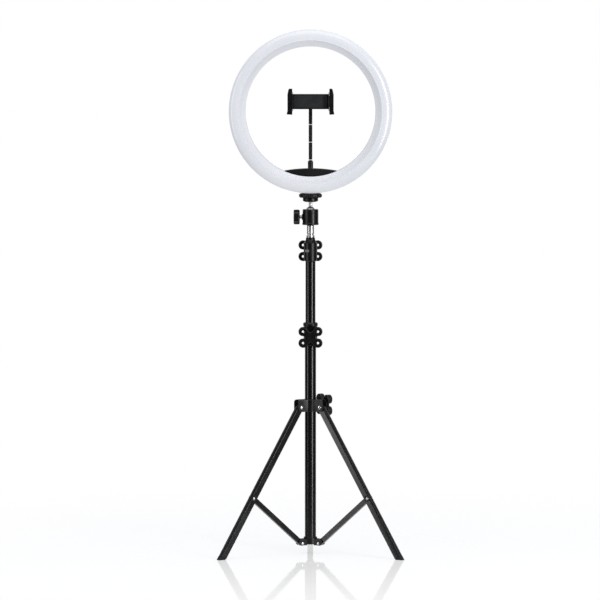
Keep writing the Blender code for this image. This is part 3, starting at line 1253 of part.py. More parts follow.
def make_phone_clamp(parent, materials):
    origin = (0, SWIVEL_Y, CLAMP_CENTRE)
    pivot = make_pivot("holder_spin", origin, parent)
    back = SWIVEL_Y - CLAMP_STANDOFF
    front = back - CLAMP_THICKNESS
    jaw_front = back - JAW_REACH

    outline = rounded_box_outline(CLAMP_WIDTH, CLAMP_HEIGHT, CLAMP_CORNER)
    shape = moved(prism(outline, -back, -front), shift(z=CLAMP_CENTRE) @ UPRIGHT)
    body = make_object("holder_body", shape, materials["plastic"], pivot, origin)
    add_bevel(body, EDGE, 1, 60)
    local = shift(y=-SWIVEL_Y)
    jaw_inner = CLAMP_WIDTH / 2 - JAW_OVERLAP
    jaw = prism(jaw_outline(-1, jaw_inner), -back + TOUCH_GAP, -jaw_front)
    combine(body, moved(jaw, local @ UPRIGHT), "UNION", "fixed_jaw")
    boss = disc(SWIVEL_NUT_RADIUS, -CLAMP_STANDOFF - EDGE, SWIVEL_NUT_FRONT - TOUCH_GAP, 24)
    combine(body, moved(boss, Z_TO_Y), "UNION", "boss")
    pocket = disc(SWIVEL_BALL_RADIUS + SOCKET_FIT, -CLAMP_BOSS_FLOOR, 0, 20)
    combine(body, moved(pocket, Z_TO_Y), "DIFFERENCE", "pocket")
    slot_back = back - TONGUE_COVER
    slot_front = slot_back - TONGUE_THICKNESS - 2 * TOUCH_GAP
    slot_end = CLAMP_WIDTH / 2 - SLOT_LENGTH
    slot_half = TONGUE_HEIGHT / 2 + TOUCH_GAP
    slot = prism([(slot_end, -slot_half), (CLAMP_WIDTH, -slot_half), (CLAMP_WIDTH, slot_half),
                  (slot_end, slot_half)], -slot_back, -slot_front)
    combine(body, moved(slot, local @ UPRIGHT), "DIFFERENCE", "slot")

    panel_width = 2 * (jaw_inner - PAD_THICKNESS - 2 * TOUCH_GAP)
    panel_outline = rounded_box_outline(panel_width, CLAMP_HEIGHT - 2 * PANEL_MARGIN,
                                        CLAMP_CORNER)
    panel_back = front - TOUCH_GAP
    panel = moved(prism(panel_outline, -panel_back, -panel_back + PANEL_THICKNESS),
                  shift(z=CLAMP_CENTRE) @ UPRIGHT)
    make_object("holder_panel", panel, materials["gloss"], pivot, origin)

    make_jaw_pad("jaw_pad_fixed", -1, jaw_inner, panel_back - PANEL_THICKNESS, jaw_front, pivot,
                 materials)
    make_sliding_jaw(pivot, back, jaw_front, panel_back - PANEL_THICKNESS, slot_back, materials)
    make_jaw_spring(pivot, slot_end, (slot_back + slot_front) / 2, materials)


def make_jaw_pad(name, side, jaw_inner, near, far, parent, materials):
    """A rubber pad whose face bulges towards the phone."""
    half = PAD_HEIGHT / 2
    face = jaw_inner - TOUCH_GAP
    outline = [(side * face, half), (side * face, -half)]
    for step in range(-4, 5):
        reach = PAD_THICKNESS * (0.45 + 0.55 * math.cos(math.pi * step / 9))
        outline.append((side * (face - reach), half * step / 4))
    shape = moved(prism(outline, -near + EDGE, -far - EDGE), shift(z=CLAMP_CENTRE) @ UPRIGHT)
    make_object(name, shape, materials["rubber"], parent, (0, SWIVEL_Y, CLAMP_CENTRE))


def make_sliding_jaw(parent, back, jaw_front, pad_near, slot_back, materials):
    """The jaw on the right with the tongue that runs in the body's slot."""
    origin = (CLAMP_WIDTH / 2, SWIVEL_Y, CLAMP_CENTRE)
    pivot = make_pivot("jaw_slide", origin, parent)
    inner = CLAMP_WIDTH / 2 + TOUCH_GAP
    shape = prism(jaw_outline(1, inner), -back + TOUCH_GAP, -jaw_front)
    jaw = make_object("sliding_jaw", moved(shape, shift(z=CLAMP_CENTRE) @ UPRIGHT),
                      materials["plastic"], pivot, origin)
    near = slot_back - TOUCH_GAP
    half = TONGUE_HEIGHT / 2
    end = JAW_WIDTH / 2
    tongue = prism([(end - TONGUE_LENGTH, -half), (end, -half), (end, half),
                    (end - TONGUE_LENGTH, half)], -near, -near + TONGUE_THICKNESS)
    combine(jaw, moved(tongue, shift(y=-SWIVEL_Y) @ UPRIGHT), "UNION", "tongue")
    make_jaw_pad("jaw_pad_sliding", 1, inner, pad_near, jaw_front, pivot, materials)


def make_jaw_spring(parent, slot_end, spring_y, materials):
    """A helix of round wire along the slot, behind the tongue's end."""
    start = slot_end + SPRING_WIRE + EDGE
    end = CLAMP_WIDTH / 2 + JAW_WIDTH / 2 - TONGUE_LENGTH - SPRING_WIRE - EDGE
    per_turn = 6
    count = SPRING_TURNS * per_turn
    curve = bpy.data.curves.new("jaw_spring", "CURVE")
    curve.dimensions = "3D"
    curve.bevel_depth = SPRING_WIRE
    curve.bevel_resolution = 0
    curve.use_fill_caps = True
    line = curve.splines.new("POLY")
    line.points.add(count)
    for i, point in enumerate(line.points):
        angle = math.tau * i / per_turn
        x = start + (end - start) * i / count
        point.co = (x, SPRING_RADIUS * math.cos(angle), SPRING_RADIUS * math.sin(angle), 1)
    curve.materials.append(materials["bright"])
    spring = bpy.data.objects.new("jaw_spring", curve)
    spring.location = (0, spring_y, CLAMP_CENTRE)
    bpy.context.collection.objects.link(spring)
    attach(spring, parent)


# ---------------------------------------------------------------- assembly


def centre_on_box(rig):
    """Moves the whole stand so that the middle of its box lies on the origin."""
    bpy.context.view_layer.update()
    view = bpy.context.evaluated_depsgraph_get()
    reach = []
    for piece in bpy.context.scene.objects:
        if piece.hide_render or piece.type == "EMPTY":
            continue
        solid = piece.evaluated_get(view)
        reach += [(solid.matrix_world @ Vector(corner)).y for corner in solid.bound_box]
    rig.location.y = -(min(reach) + max(reach)) / 2


def build():
    clear_scene()
    materials = make_materials()
    rig = make_pivot("column_axis", (0, 0, 0))
    make_tripod(rig, materials)
    top_section = make_column(rig, materials)
    head = make_ball_head(top_section, materials)
    make_ring(head, materials)
    make_bracket(head, materials)
    elbow = make_neck(head, materials)
    nut = make_swivel_nut(elbow, materials)
    make_phone_clamp(nut, materials)
    centre_on_box(rig)


build()
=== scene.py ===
import json
import math

import bpy
from mathutils import Matrix, Vector


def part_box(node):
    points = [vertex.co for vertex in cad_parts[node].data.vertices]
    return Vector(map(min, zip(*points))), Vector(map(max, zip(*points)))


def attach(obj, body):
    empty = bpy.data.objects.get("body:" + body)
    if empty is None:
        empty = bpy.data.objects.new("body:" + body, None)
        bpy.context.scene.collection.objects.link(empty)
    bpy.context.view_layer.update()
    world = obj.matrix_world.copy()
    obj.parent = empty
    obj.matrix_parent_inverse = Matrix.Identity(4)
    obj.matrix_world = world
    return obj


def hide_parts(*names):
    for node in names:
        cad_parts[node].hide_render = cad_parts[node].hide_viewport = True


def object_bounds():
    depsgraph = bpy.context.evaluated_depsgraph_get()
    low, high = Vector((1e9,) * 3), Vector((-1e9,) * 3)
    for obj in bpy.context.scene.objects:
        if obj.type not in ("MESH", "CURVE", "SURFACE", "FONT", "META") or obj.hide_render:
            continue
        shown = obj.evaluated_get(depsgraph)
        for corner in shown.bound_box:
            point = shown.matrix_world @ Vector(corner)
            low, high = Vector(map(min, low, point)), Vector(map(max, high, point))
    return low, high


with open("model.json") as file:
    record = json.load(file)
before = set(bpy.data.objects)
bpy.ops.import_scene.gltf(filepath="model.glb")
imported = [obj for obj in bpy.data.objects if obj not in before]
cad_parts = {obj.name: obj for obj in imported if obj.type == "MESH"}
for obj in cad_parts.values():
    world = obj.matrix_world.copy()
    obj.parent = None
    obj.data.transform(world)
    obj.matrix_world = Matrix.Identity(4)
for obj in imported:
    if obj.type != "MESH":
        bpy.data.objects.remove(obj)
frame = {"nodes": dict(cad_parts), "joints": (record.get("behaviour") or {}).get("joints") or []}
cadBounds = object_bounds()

# ring light on a folding stand: finer pieces, finishes, studio, camera


def middleOf(node):
    low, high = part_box(node)
    return [(a + b) / 2 for a, b in zip(low, high)]


def sizeOf(node):
    low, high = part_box(node)
    return [b - a for a, b in zip(low, high)]


def jointNamed(name):
    return next(joint for joint in frame["joints"] if joint["name"] == name)


columnX, columnY = middleOf("lower_tube")[:2]
ringX, ringZ = middleOf("diffuser")[0], middleOf("diffuser")[2]
ringRadius = sizeOf("diffuser")[0] / 2
seatGap = 0.0003  # left between a piece and what it seats on
cutPast = 0.001  # how far a cutter runs past the face it cuts
legSides = {"front_left": -150, "front_right": -30, "rear": 90}  # where each leg stands, in degrees

print("frame loaded, column at", round(columnX, 4), round(columnY, 4))

# modelling helpers, all through the same operators as by hand


def clearSelection():
    if bpy.context.object and bpy.context.object.mode != "OBJECT":
        bpy.ops.object.mode_set(mode="OBJECT")
    bpy.ops.object.select_all(action="DESELECT")


def takeUp(piece):
    clearSelection()
    piece.select_set(True)
    bpy.context.view_layer.objects.active = piece


def drawLine(name, points):
    # a loose vertex, then one extrude for each further point
    clearSelection()
    bpy.ops.mesh.primitive_plane_add(size=0.001)
    piece = bpy.context.object
    piece.name = name
    piece.data.name = name
    bpy.ops.object.mode_set(mode="EDIT")
    bpy.ops.mesh.merge(type="CENTER")
    bpy.ops.transform.translate(value=points[0])
    for before, after in zip(points, points[1:]):
        step = Vector(after) - Vector(before)
        bpy.ops.mesh.extrude_vertices_move(TRANSFORM_OT_translate={"value": step})
    return piece


def closeUp(piece, sharpAngle=32):
    bpy.ops.object.mode_set(mode="EDIT")
    bpy.ops.mesh.select_all(action="SELECT")
    bpy.ops.mesh.remove_doubles(threshold=0.000002)
    bpy.ops.mesh.normals_make_consistent(inside=False)
    bpy.ops.object.mode_set(mode="OBJECT")
    takeUp(piece)
    bpy.ops.object.shade_smooth_by_angle(angle=math.radians(sharpAngle))
    return piece


def turnOnLathe(name, outline, centre, axis="Z", steps=96, closed=True, sharpAngle=32):
    # the outline is (radius, distance along the axis)
    along = {"X": Vector((1, 0, 0)), "Y": Vector((0, 1, 0)), "Z": Vector((0, 0, 1))}[axis]
    across = Vector((0, 0, 1)) if axis == "X" else Vector((1, 0, 0))
    centre = Vector(centre)
    path = list(outline) + ([outline[0]] if closed else [])
    piece = drawLine(name, [centre + across * r + along * h for r, h in path])
    bpy.ops.mesh.select_all(action="SELECT")
    bpy.ops.mesh.spin(steps=steps, angle=math.tau, center=centre, axis=along)
    return closeUp(piece, sharpAngle)


def pushOut(name, outline, low, high, place, sharpAngle=32):
    # fills a flat outline and extrudes it, then lays it in place
    piece = drawLine(name, [(x, y, low) for x, y in outline] + [(outline[0][0], outline[0][1], low)])
    bpy.ops.mesh.select_all(action="SELECT")
    bpy.ops.mesh.remove_doubles(threshold=0.000002)
    bpy.ops.mesh.edge_face_add()
    bpy.ops.mesh.extrude_region_move(TRANSFORM_OT_translate={"value": (0, 0, high - low)})
    closeUp(piece, sharpAngle)
    piece.matrix_world = place
    settle(piece)
    return closeUp(piece, sharpAngle)


def settle(piece):
    takeUp(piece)
    bpy.ops.object.transform_apply(location=True, rotation=True, scale=True)


def roundEdges(piece, width, segments=3, angle=35, sharpAngle=32):
    takeUp(piece)
    bevel = piece.modifiers.new("roundEdges", "BEVEL")
    bevel.width = width
    bevel.segments = segments
    bevel.limit_method = "ANGLE"
    bevel.angle_limit = math.radians(angle)
    bevel.harden_normals = False
    bpy.ops.object.modifier_apply(modifier=bevel.name)
    return closeUp(piece, sharpAngle)


def combine(piece, other, operation="DIFFERENCE", sharpAngle=32):
    takeUp(piece)
    boolean = piece.modifiers.new("combine", "BOOLEAN")
    boolean.operation = operation
    boolean.object = other
    bpy.ops.object.modifier_apply(modifier=boolean.name)
    bpy.data.objects.remove(other)
    return closeUp(piece, sharpAngle)


def joined(name, parts):
    clearSelection()
    for part in parts:
        part.select_set(True)
    bpy.context.view_layer.objects.active = parts[0]
    if len(parts) > 1:
        bpy.ops.object.join()
    parts[0].name = name
    return parts[0]


def arcPoints(centre, radius, start, end, steps):
    wide, high = radius if isinstance(radius, tuple) else (radius, radius)
    turns = [math.radians(start + (end - start) * i / steps) for i in range(steps + 1)]
    return [(centre[0] + wide * math.cos(t), centre[1] + high * math.sin(t)) for t in turns]


def copyOfNode(node, name, softEdge=0.0, segments=2, edgeAngle=35):
    # a merged copy of a CAD piece, whose flat faces are joined up again and edges softened
    source = frame["nodes"][node]
    clearSelection()
    piece = bpy.data.objects.new(name, source.data.copy())
    piece.data.name = name
    bpy.context.scene.collection.objects.link(piece)
    takeUp(piece)
    bpy.ops.object.mode_set(mode="EDIT")
    bpy.ops.mesh.select_all(action="SELECT")
    bpy.ops.mesh.remove_doubles(threshold=0.000004)
    bpy.ops.mesh.dissolve_limited(angle_limit=math.radians(1.0))
    bpy.ops.object.mode_set(mode="OBJECT")
    closeUp(piece)
    if softEdge:
        roundEdges(piece, softEdge, segments, edgeAngle)
    return piece


def finishPiece(piece, finish, body, stands=()):
    piece.data.materials.clear()
    piece.data.materials.append(finish)
    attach(piece, body)
    if stands:
        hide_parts(*([stands] if isinstance(stands, str) else stands))
    return piece


def dressNode(node, finish):
    for materialSlot in frame["nodes"][node].material_slots:
        materialSlot.material = finish


print("helpers ready")

# finishes


def newGroup(name, inputs, outputs):
    group = bpy.data.node_groups.new(name, "ShaderNodeTree")
    for label, value in inputs.items():
        socket = group.interface.new_socket(name=label, in_out="INPUT", socket_type="NodeSocketFloat")
        socket.default_value = value
    for label in outputs:
        group.interface.new_socket(name=label, in_out="OUTPUT", socket_type="NodeSocketFloat")
    nodes = group.nodes
    return group, nodes, group.links, nodes.new("NodeGroupInput"), nodes.new("NodeGroupOutput")


def addMath(nodes, links, operation, first, second):
    node = nodes.new("ShaderNodeMath")
    node.operation = operation
    for socket, value in zip(node.inputs, (first, second)):
        if isinstance(value, (int, float)):
            socket.default_value = value
        else:
            links.new(value, socket)
    return node.outputs[0]


def addRamp(nodes, links, value, start, end, low=0.0, high=1.0):
    ramp = nodes.new("ShaderNodeMapRange")
    for label, number in zip(("From Min", "From Max", "To Min", "To Max"), (start, end, low, high)):
        ramp.inputs[label].default_value = number
    links.new(value, ramp.inputs["Value"])
    return ramp.outputs["Result"]


def makeMouldedGrain():
    # fine spark-eroded grain with slow patches, for moulded plastic, rubber and powder coat
    group, nodes, links, given, out = newGroup(
        "mouldedGrain", {"Grain Size": 0.0004, "Patch Size": 0.02}, ["Height", "Patches"])
    place = nodes.new("ShaderNodeTexCoord")
    fine = nodes.new("ShaderNodeTexNoise")
    fine.inputs["Detail"].default_value = 3.0
    slow = nodes.new("ShaderNodeTexNoise")
    slow.inputs["Detail"].default_value = 4.0
    links.new(place.outputs["Object"], fine.inputs["Vector"])
    links.new(place.outputs["Object"], slow.inputs["Vector"])
    links.new(addMath(nodes, links, "DIVIDE", 1.0, given.outputs["Grain Size"]), fine.inputs["Scale"])
    links.new(addMath(nodes, links, "DIVIDE", 1.0, given.outputs["Patch Size"]), slow.inputs["Scale"])
    links.new(fine.outputs["Fac"], out.inputs["Height"])
    links.new(addRamp(nodes, links, slow.outputs["Fac"], 0.32, 0.68), out.inputs["Patches"])
    return group


def makeTurnedLines():
    # fine rings left by the lathe, stacked along Z
    group, nodes, links, given, out = newGroup("turnedLines", {"Pitch": 0.0002}, ["Lines"])
    place = nodes.new("ShaderNodeTexCoord")
    split = nodes.new("ShaderNodeSeparateXYZ")
    links.new(place.outputs["Object"], split.inputs["Vector"])
    lines = nodes.new("ShaderNodeTexNoise")
    lines.noise_dimensions = "1D"
    lines.inputs["Scale"].default_value = 1.0
    lines.inputs["Detail"].default_value = 2.0
    along = addMath(nodes, links, "DIVIDE", split.outputs["Z"], given.outputs["Pitch"])
    links.new(along, lines.inputs["W"])
    links.new(lines.outputs["Fac"], out.inputs["Lines"])
    return group


mouldedGrain = makeMouldedGrain()
turnedLines = makeTurnedLines()


def newFinish(name):
    finish = bpy.data.materials.new(name)
    finish.use_nodes = True
    shader = finish.node_tree.nodes["Principled BSDF"]
    return finish, finish.node_tree.nodes, finish.node_tree.links, shader


def dressShader(nodes, links, shader, look, mask, height, bumpDepth):
    # dark and light are the two ends of the colour, smooth and rough those of the roughness
    tint = nodes.new("ShaderNodeMix")
    tint.data_type = "RGBA"
    tint.inputs["A"].default_value = (*look["dark"], 1)
    tint.inputs["B"].default_value = (*look["light"], 1)
    links.new(mask, tint.inputs["Factor"])
    links.new(tint.outputs["Result"], shader.inputs["Base Color"])
    links.new(addRamp(nodes, links, mask, 0.0, 1.0, look["smooth"], look["rough"]),
              shader.inputs["Roughness"])
    bump = nodes.new("ShaderNodeBump")
    bump.inputs["Strength"].default_value = look["bump"]
    bump.inputs["Distance"].default_value = bumpDepth
    links.new(height, bump.inputs["Height"])
    links.new(bump.outputs["Normal"], shader.inputs["Normal"])


def grainFinish(name, look):
    finish, nodes, links, shader = newFinish(name)
    grain = nodes.new("ShaderNodeGroup")
    grain.node_tree = mouldedGrain
    grain.inputs["Grain Size"].default_value = look["grainSize"]
    grain.inputs["Patch Size"].default_value = look["patchSize"]
    dressShader(nodes, links, shader, look, grain.outputs["Patches"], grain.outputs["Height"],
                look["grainSize"] * 0.012)
    shader.inputs["Coat Weight"].default_value = look.get("coat", 0.0)
    shader.inputs["Coat Roughness"].default_value = look.get("coatRough", 0.2)
    shader.inputs["Subsurface Weight"].default_value = look.get("subsurface", 0.0)
    shader.inputs["Subsurface Scale"].default_value = 0.004
    # emission is painted glow; only the ring cover uses it, to brighten a ring whose lamps are off
    shader.inputs["Emission Color"].default_value = (*look.get("paintedGlow", look["light"]), 1)
    shader.inputs["Emission Strength"].default_value = look.get("paintedGlowStrength", 0.0)
    return finish


def turnedFinish(name, look):
    # bright metal with the lathe's rings
    finish, nodes, links, shader = newFinish(name)
    lines = nodes.new("ShaderNodeGroup")
    lines.node_tree = turnedLines
    lines.inputs["Pitch"].default_value = look["pitch"]
    dressShader(nodes, links, shader, look, lines.outputs["Lines"], lines.outputs["Lines"],
                look["pitch"] * 0.02)
    shader.inputs["Metallic"].default_value = 1.0
    return finish


# milky white ring cover; its emission is painted glow, as the ring's LEDs are not lit
milkyCover = grainFinish("milkyCover", dict(
    dark=(0.50, 0.52, 0.57), light=(0.58, 0.60, 0.64), smooth=0.24, rough=0.32, bump=0.05,
    grainSize=0.0015, patchSize=0.09, coat=0.35, coatRough=0.12, subsurface=0.1,
    paintedGlow=(0.88, 0.90, 0.95), paintedGlowStrength=0.49))
shellPlastic = grainFinish("shellPlastic", dict(
    dark=(0.004, 0.004, 0.005), light=(0.009, 0.009, 0.010), smooth=0.42, rough=0.52, bump=0.30,
    grainSize=0.0005, patchSize=0.03))
nylonBlack = grainFinish("nylonBlack", dict(
    dark=(0.002, 0.002, 0.003), light=(0.005, 0.005, 0.006), smooth=0.30, rough=0.40, bump=0.20,
    grainSize=0.0004, patchSize=0.012))
powderBlack = grainFinish("powderBlack", dict(
    dark=(0.001, 0.001, 0.002), light=(0.003, 0.003, 0.004), smooth=0.20, rough=0.27, bump=0.12,
    grainSize=0.0007, patchSize=0.025, coat=0.25, coatRough=0.18))
# dark grey panel plastic, lifted partly by painted sheen in the base colour; the coat adds the real shine
sheenPaintedPanel = grainFinish("sheenPaintedPanel", dict(
    dark=(0.030, 0.031, 0.035), light=(0.046, 0.048, 0.052), smooth=0.20, rough=0.30, bump=0.06,
    grainSize=0.0003, patchSize=0.02, coat=0.4, coatRough=0.10))
softRubber = grainFinish("softRubber", dict(
    dark=(0.010, 0.010, 0.010), light=(0.022, 0.021, 0.020), smooth=0.66, rough=0.86, bump=0.35,
    grainSize=0.0004, patchSize=0.006))
boardWhite = grainFinish("boardWhite", dict(
    dark=(0.70, 0.72, 0.68), light=(0.80, 0.81, 0.78), smooth=0.45, rough=0.55, bump=0.05,
    grainSize=0.0006, patchSize=0.02))
neckSkin = grainFinish("neckSkin", dict(
    dark=(0.002, 0.002, 0.002), light=(0.004, 0.004, 0.004), smooth=0.34, rough=0.45, bump=0.12,
    grainSize=0.0003, patchSize=0.008))
brightSteel = turnedFinish("brightSteel", dict(
    dark=(0.62, 0.62, 0.63), light=(0.86, 0.86, 0.87), smooth=0.30, rough=0.42, bump=0.06, pitch=0.0005))
brightRivet = turnedFinish("brightRivet", dict(
    dark=(0.74, 0.74, 0.75), light=(0.92, 0.92, 0.92), smooth=0.16, rough=0.32, bump=0.05, pitch=0.0004))
brassTurned = turnedFinish("brassTurned", dict(
    dark=(0.66, 0.47, 0.20), light=(0.84, 0.63, 0.30), smooth=0.22, rough=0.38, bump=0.15, pitch=0.0003))

print("finishes made")

# small shared pieces


def radialDirection(side):
    turn = math.radians(legSides[side])
    return Vector((math.cos(turn), math.sin(turn), 0))


def spanAlong(node, origin, axis):
    # nearest and furthest point of a CAD piece along an axis
    reach = [(v.co - Vector(origin)).dot(Vector(axis)) for v in frame["nodes"][node].data.vertices]
    return min(reach), max(reach)


def placeOnAxis(origin, axis, up=(0, 0, 1)):
    # a frame whose Z runs along the axis and whose Y points up
    outward = Vector(axis).normalized()
    upward = Vector(up)
    sideways = upward.cross(outward).normalized()
    upward = outward.cross(sideways)
    turned = Matrix((sideways, upward, outward)).transposed().to_4x4()
    return Matrix.Translation(origin) @ turned


def roundBar(name, radius, low, high, place, steps=32):
    bar = pushOut(name, arcPoints((0, 0), radius, 0, 360 - 360 / steps, steps - 1), low, high, place)
    return bar


def bladeCutter(name, length, width, low, high, place):
    half, side = length / 2, width / 2
    return pushOut(name, [(-half, -side), (half, -side), (half, side), (-half, side)], low, high, place)


# ring head

coverLook = dict(innerShare=0.7954, crownShare=0.8923, crownEdge=0.0020, wall=0.0018, bead=0.00045,
                 innerLip=0.0006, innerLipDepth=0.0007, steps=180)
shellLook = dict(corner=0.0060, edge=0.0003, wall=0.0018, bossRadius=0.0054, bossHeight=0.0130,
                 boreRadius=0.0043, boreDepth=0.0085, boreBelow=0.004, steps=180, screwHole=0.0017,
                 glandHole=0.0026, holeDepth=0.006, bracketEdge=0.0004)
screwLook = dict(shank=0.0014, tip=0.0005, head=0.0028, headHeight=0.0016, rim=0.0004, slotLength=0.0030,
                 slotWidth=0.0006, slotDepth=0.0008)
glandLook = dict(bore=0.0016, neck=0.0023, collarHeight=0.0018, collarEdge=0.0004, rings=5,
                 firstRing=0.0020,
                 ringPitch=0.0013, ringRoot=0.0024, ringTip=0.0030, ringTaper=0.00008, ringEdge=0.0002)
backScrews = ["bracket_screw_left", "bracket_screw_right", "housing_screw_left", "housing_screw_right"]


def makeCover():
    low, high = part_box("diffuser")
    centre = (ringX, high[1], ringZ)
    depth = high[1] - low[1]
    inner = ringRadius * coverLook["innerShare"]
    wall = coverLook["wall"]
    crown = (ringRadius * coverLook["crownShare"], -coverLook["crownEdge"])
    outerSize = (ringRadius - crown[0], depth - coverLook["crownEdge"])
    innerSize = (outerSize[0] - wall, outerSize[1] - wall)
    bead = coverLook["bead"]
    outline = [(ringRadius, 0)] + arcPoints(crown, outerSize, 0, -98, 28)
    lastPoint = outline[-1]
    outline += arcPoints((lastPoint[0] - bead, lastPoint[1] + bead * 0.1), bead, -60, -190, 5)
    lip, lipDepth = coverLook["innerLip"], coverLook["innerLipDepth"]
    outline += [(inner + lip, -lipDepth), (inner + 0.0001, -0.0003), (inner, 0)]
    outline += [(inner + wall, 0)] + arcPoints(crown, innerSize, -98, 0, 14)
    outline.append((ringRadius - wall, 0))
    cover = turnOnLathe("ringCover", outline, centre, "Y", coverLook["steps"], sharpAngle=45)
    finishPiece(cover, milkyCover, "ring_head", "diffuser")


def makeShell():
    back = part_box("back_housing")[1][1]
    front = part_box("diffuser")[1][1]
    centre = (ringX, front, ringZ)
    depth = back - front
    inner = ringRadius * coverLook["innerShare"]
    corner, wall = shellLook["corner"], shellLook["wall"]
    gap = seatGap
    outline = [(ringRadius - shellLook["edge"], gap), (ringRadius, gap + shellLook["edge"])]
    outline += arcPoints((ringRadius - corner, depth - corner), corner, 0, 90, 10)
    outline += arcPoints((inner + corner, depth - corner), corner, 90, 180, 10)
    outline += [(inner, gap), (inner + wall, gap)]
    outline += arcPoints((inner + corner, depth - corner), corner - wall, 180, 90, 6)
    outline += arcPoints((ringRadius - corner, depth - corner), corner - wall, 90, 0, 6)
    outline.append((ringRadius - wall, gap))
    shell = turnOnLathe("backShell", outline, centre, "Y", shellLook["steps"], sharpAngle=40)
    bottom = Matrix.Translation((ringX, middleOf("thread_insert")[1], ringZ - ringRadius))
    boss = roundBar("baseBoss", shellLook["bossRadius"], 0, shellLook["bossHeight"], bottom, 64)
    combine(shell, boss, "UNION")
    bore = roundBar("baseBore", shellLook["boreRadius"], -shellLook["boreBelow"], shellLook["boreDepth"],
                    bottom, 64)
    combine(shell, bore)
    for node in backScrews + ["cable_gland"]:
        x, _, z = middleOf(node)
        radius = shellLook["glandHole"] if node == "cable_gland" else shellLook["screwHole"]
        place = placeOnAxis((x, back, z), (0, 1, 0))
        combine(shell, roundBar("screwHole", radius, -shellLook["holeDepth"], 2 * cutPast, place, 24))
    finishPiece(shell, shellPlastic, "ring_head", "back_housing")


def makeBackScrews():
    shank, head, rim = screwLook["shank"], screwLook["head"], screwLook["rim"]
    for node in backScrews:
        low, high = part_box(node)
        x, _, z = middleOf(node)
        seat = high[1] - screwLook["headHeight"]
        outline = [(0, low[1]), (shank, low[1] + screwLook["tip"]), (shank, seat), (head, seat),
                   (head, seat + rim)]
        outline += arcPoints((0, seat + rim), (head, screwLook["headHeight"] - rim), 8, 90, 7)
        screw = turnOnLathe(node + "Fine", outline, (x, 0, z), "Y", 40, closed=False)
        for turn in (20, 110):  # a cross slot
            place = placeOnAxis((x, high[1], z), (0, 1, 0)) @ Matrix.Rotation(math.radians(turn), 4, "Z")
            combine(screw, bladeCutter("slot", screwLook["slotLength"], screwLook["slotWidth"],
                                       -screwLook["slotDepth"], cutPast, place))
        finishPiece(screw, nylonBlack, "ring_head", node)


def makeGland():
    look = glandLook
    low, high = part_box("cable_gland")
    x, _, z = middleOf("cable_gland")
    collar = (high[0] - low[0]) / 2
    edge = look["collarEdge"]
    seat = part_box("back_housing")[1][1] + seatGap
    top = seat + look["collarHeight"]
    outline = [(look["bore"], low[1]), (look["neck"], low[1]), (look["neck"], seat), (collar - edge, seat),
               (collar, seat + edge), (collar, top - edge), (collar - edge, top)]
    for i in range(look["rings"]):  # flexible rings towards the end
        start = seat + look["firstRing"] + i * look["ringPitch"]
        tip = look["ringTip"] - i * look["ringTaper"]
        end = start + look["ringPitch"] - seatGap
        outline += [(look["ringRoot"], start), (tip, start + look["ringEdge"]),
                    (tip, end - look["ringEdge"]), (look["ringRoot"], end)]
    outline += [(look["neck"], high[1]), (look["bore"], high[1])]
    gland = turnOnLathe("cableGland", outline, (x, 0, z), "Y", 48)
    finishPiece(gland, softRubber, "ring_head", "cable_gland")


makeCover()
makeShell()
makeBackScrews()
makeGland()
bracket = copyOfNode("holder_bracket", "ringBracket", shellLook["bracketEdge"], 3)
finishPiece(bracket, shellPlastic, "ring_head", "holder_bracket")
dressNode("led_board", boardWhite)
dressNode("thread_insert", brassTurned)
print("ring head done")

# bendable neck and phone clamp

neckLook = dict(pitch=0.0017, depth=0.00035, steps=40, bendRelief=0.00036, ferruleEdge=0.0004,
                ferruleGroove=0.0003, grooveHalf=0.0006, grooveHeights=(0.0034, 0.0062), shoulder=0.0034)
elbowLook = dict(edge=0.0012, footShare=0.66, footRise=0.0014, ballNeck=0.0020)
clampLook = dict(bodyEdge=0.0006, panelEdge=0.0004, padEdge=0.0002, padGrooves=9, grooveWidth=0.0009,
                 grooveDepth=0.0004, nutEdge=0.0003, nutFlutes=14, fluteRadius=0.0009, fluteOffset=0.0004,
                 fluteStart=0.0014, trimHeight=0.0009, trimRise=0.0003, trimSink=0.0005, trimMargin=0.0010,
                 trimFromTop=0.0016, trimFromBottom=0.0022)


def makeNeck():
    for node in ("neck_lower", "neck_middle", "neck_upper"):
        low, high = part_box(node)
        x, y = middleOf(node)[:2]
        radius = (high[0] - low[0]) / 2
        length = high[2] - low[2]
        turns = round(length / neckLook["pitch"])
        pitch = length / turns
        relief = neckLook["bendRelief"]
        outline = [(0, low[2]), (radius - neckLook["depth"], low[2] + relief)]
        for i in range(turns):  # each ring of the neck is a rounded ridge
            start = low[2] + i * pitch
            outline += [(radius - neckLook["depth"] * 0.3, start + pitch * 0.25),
                        (radius, start + pitch * 0.5),
                        (radius - neckLook["depth"] * 0.3, start + pitch * 0.75)]
            if i < turns - 1:
                outline.append((radius - neckLook["depth"], start + pitch))
        outline += [(radius - neckLook["depth"], high[2] - relief), (0, high[2])]
        segment = turnOnLathe(node + "Rings", outline, (x, y, 0), "Z", neckLook["steps"], False, 50)
        finishPiece(segment, neckSkin, node, node)


def makeFerrule():
    low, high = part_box("neck_base")
    x, y = middleOf("neck_base")[:2]
    radius = (high[0] - low[0]) / 2
    edge, groove, half = neckLook["ferruleEdge"], neckLook["ferruleGroove"], neckLook["grooveHalf"]
    outline = [(0, low[2]), (radius - edge, low[2]), (radius, low[2] + edge)]
    for lift in neckLook["grooveHeights"]:  # crimped grooves
        outline += [(radius, low[2] + lift - half), (radius - groove, low[2] + lift),
                    (radius, low[2] + lift + half)]
    outline += [(radius, high[2] - neckLook["shoulder"]), (radius - 0.0008, high[2] - 0.0016),
                (radius - 0.0014, high[2] - 0.0006), (0, high[2])]
    finishPiece(turnOnLathe("neckFerrule", outline, (x, y, 0), "Z", 64, False), nylonBlack, "ring_head",
                "neck_base")


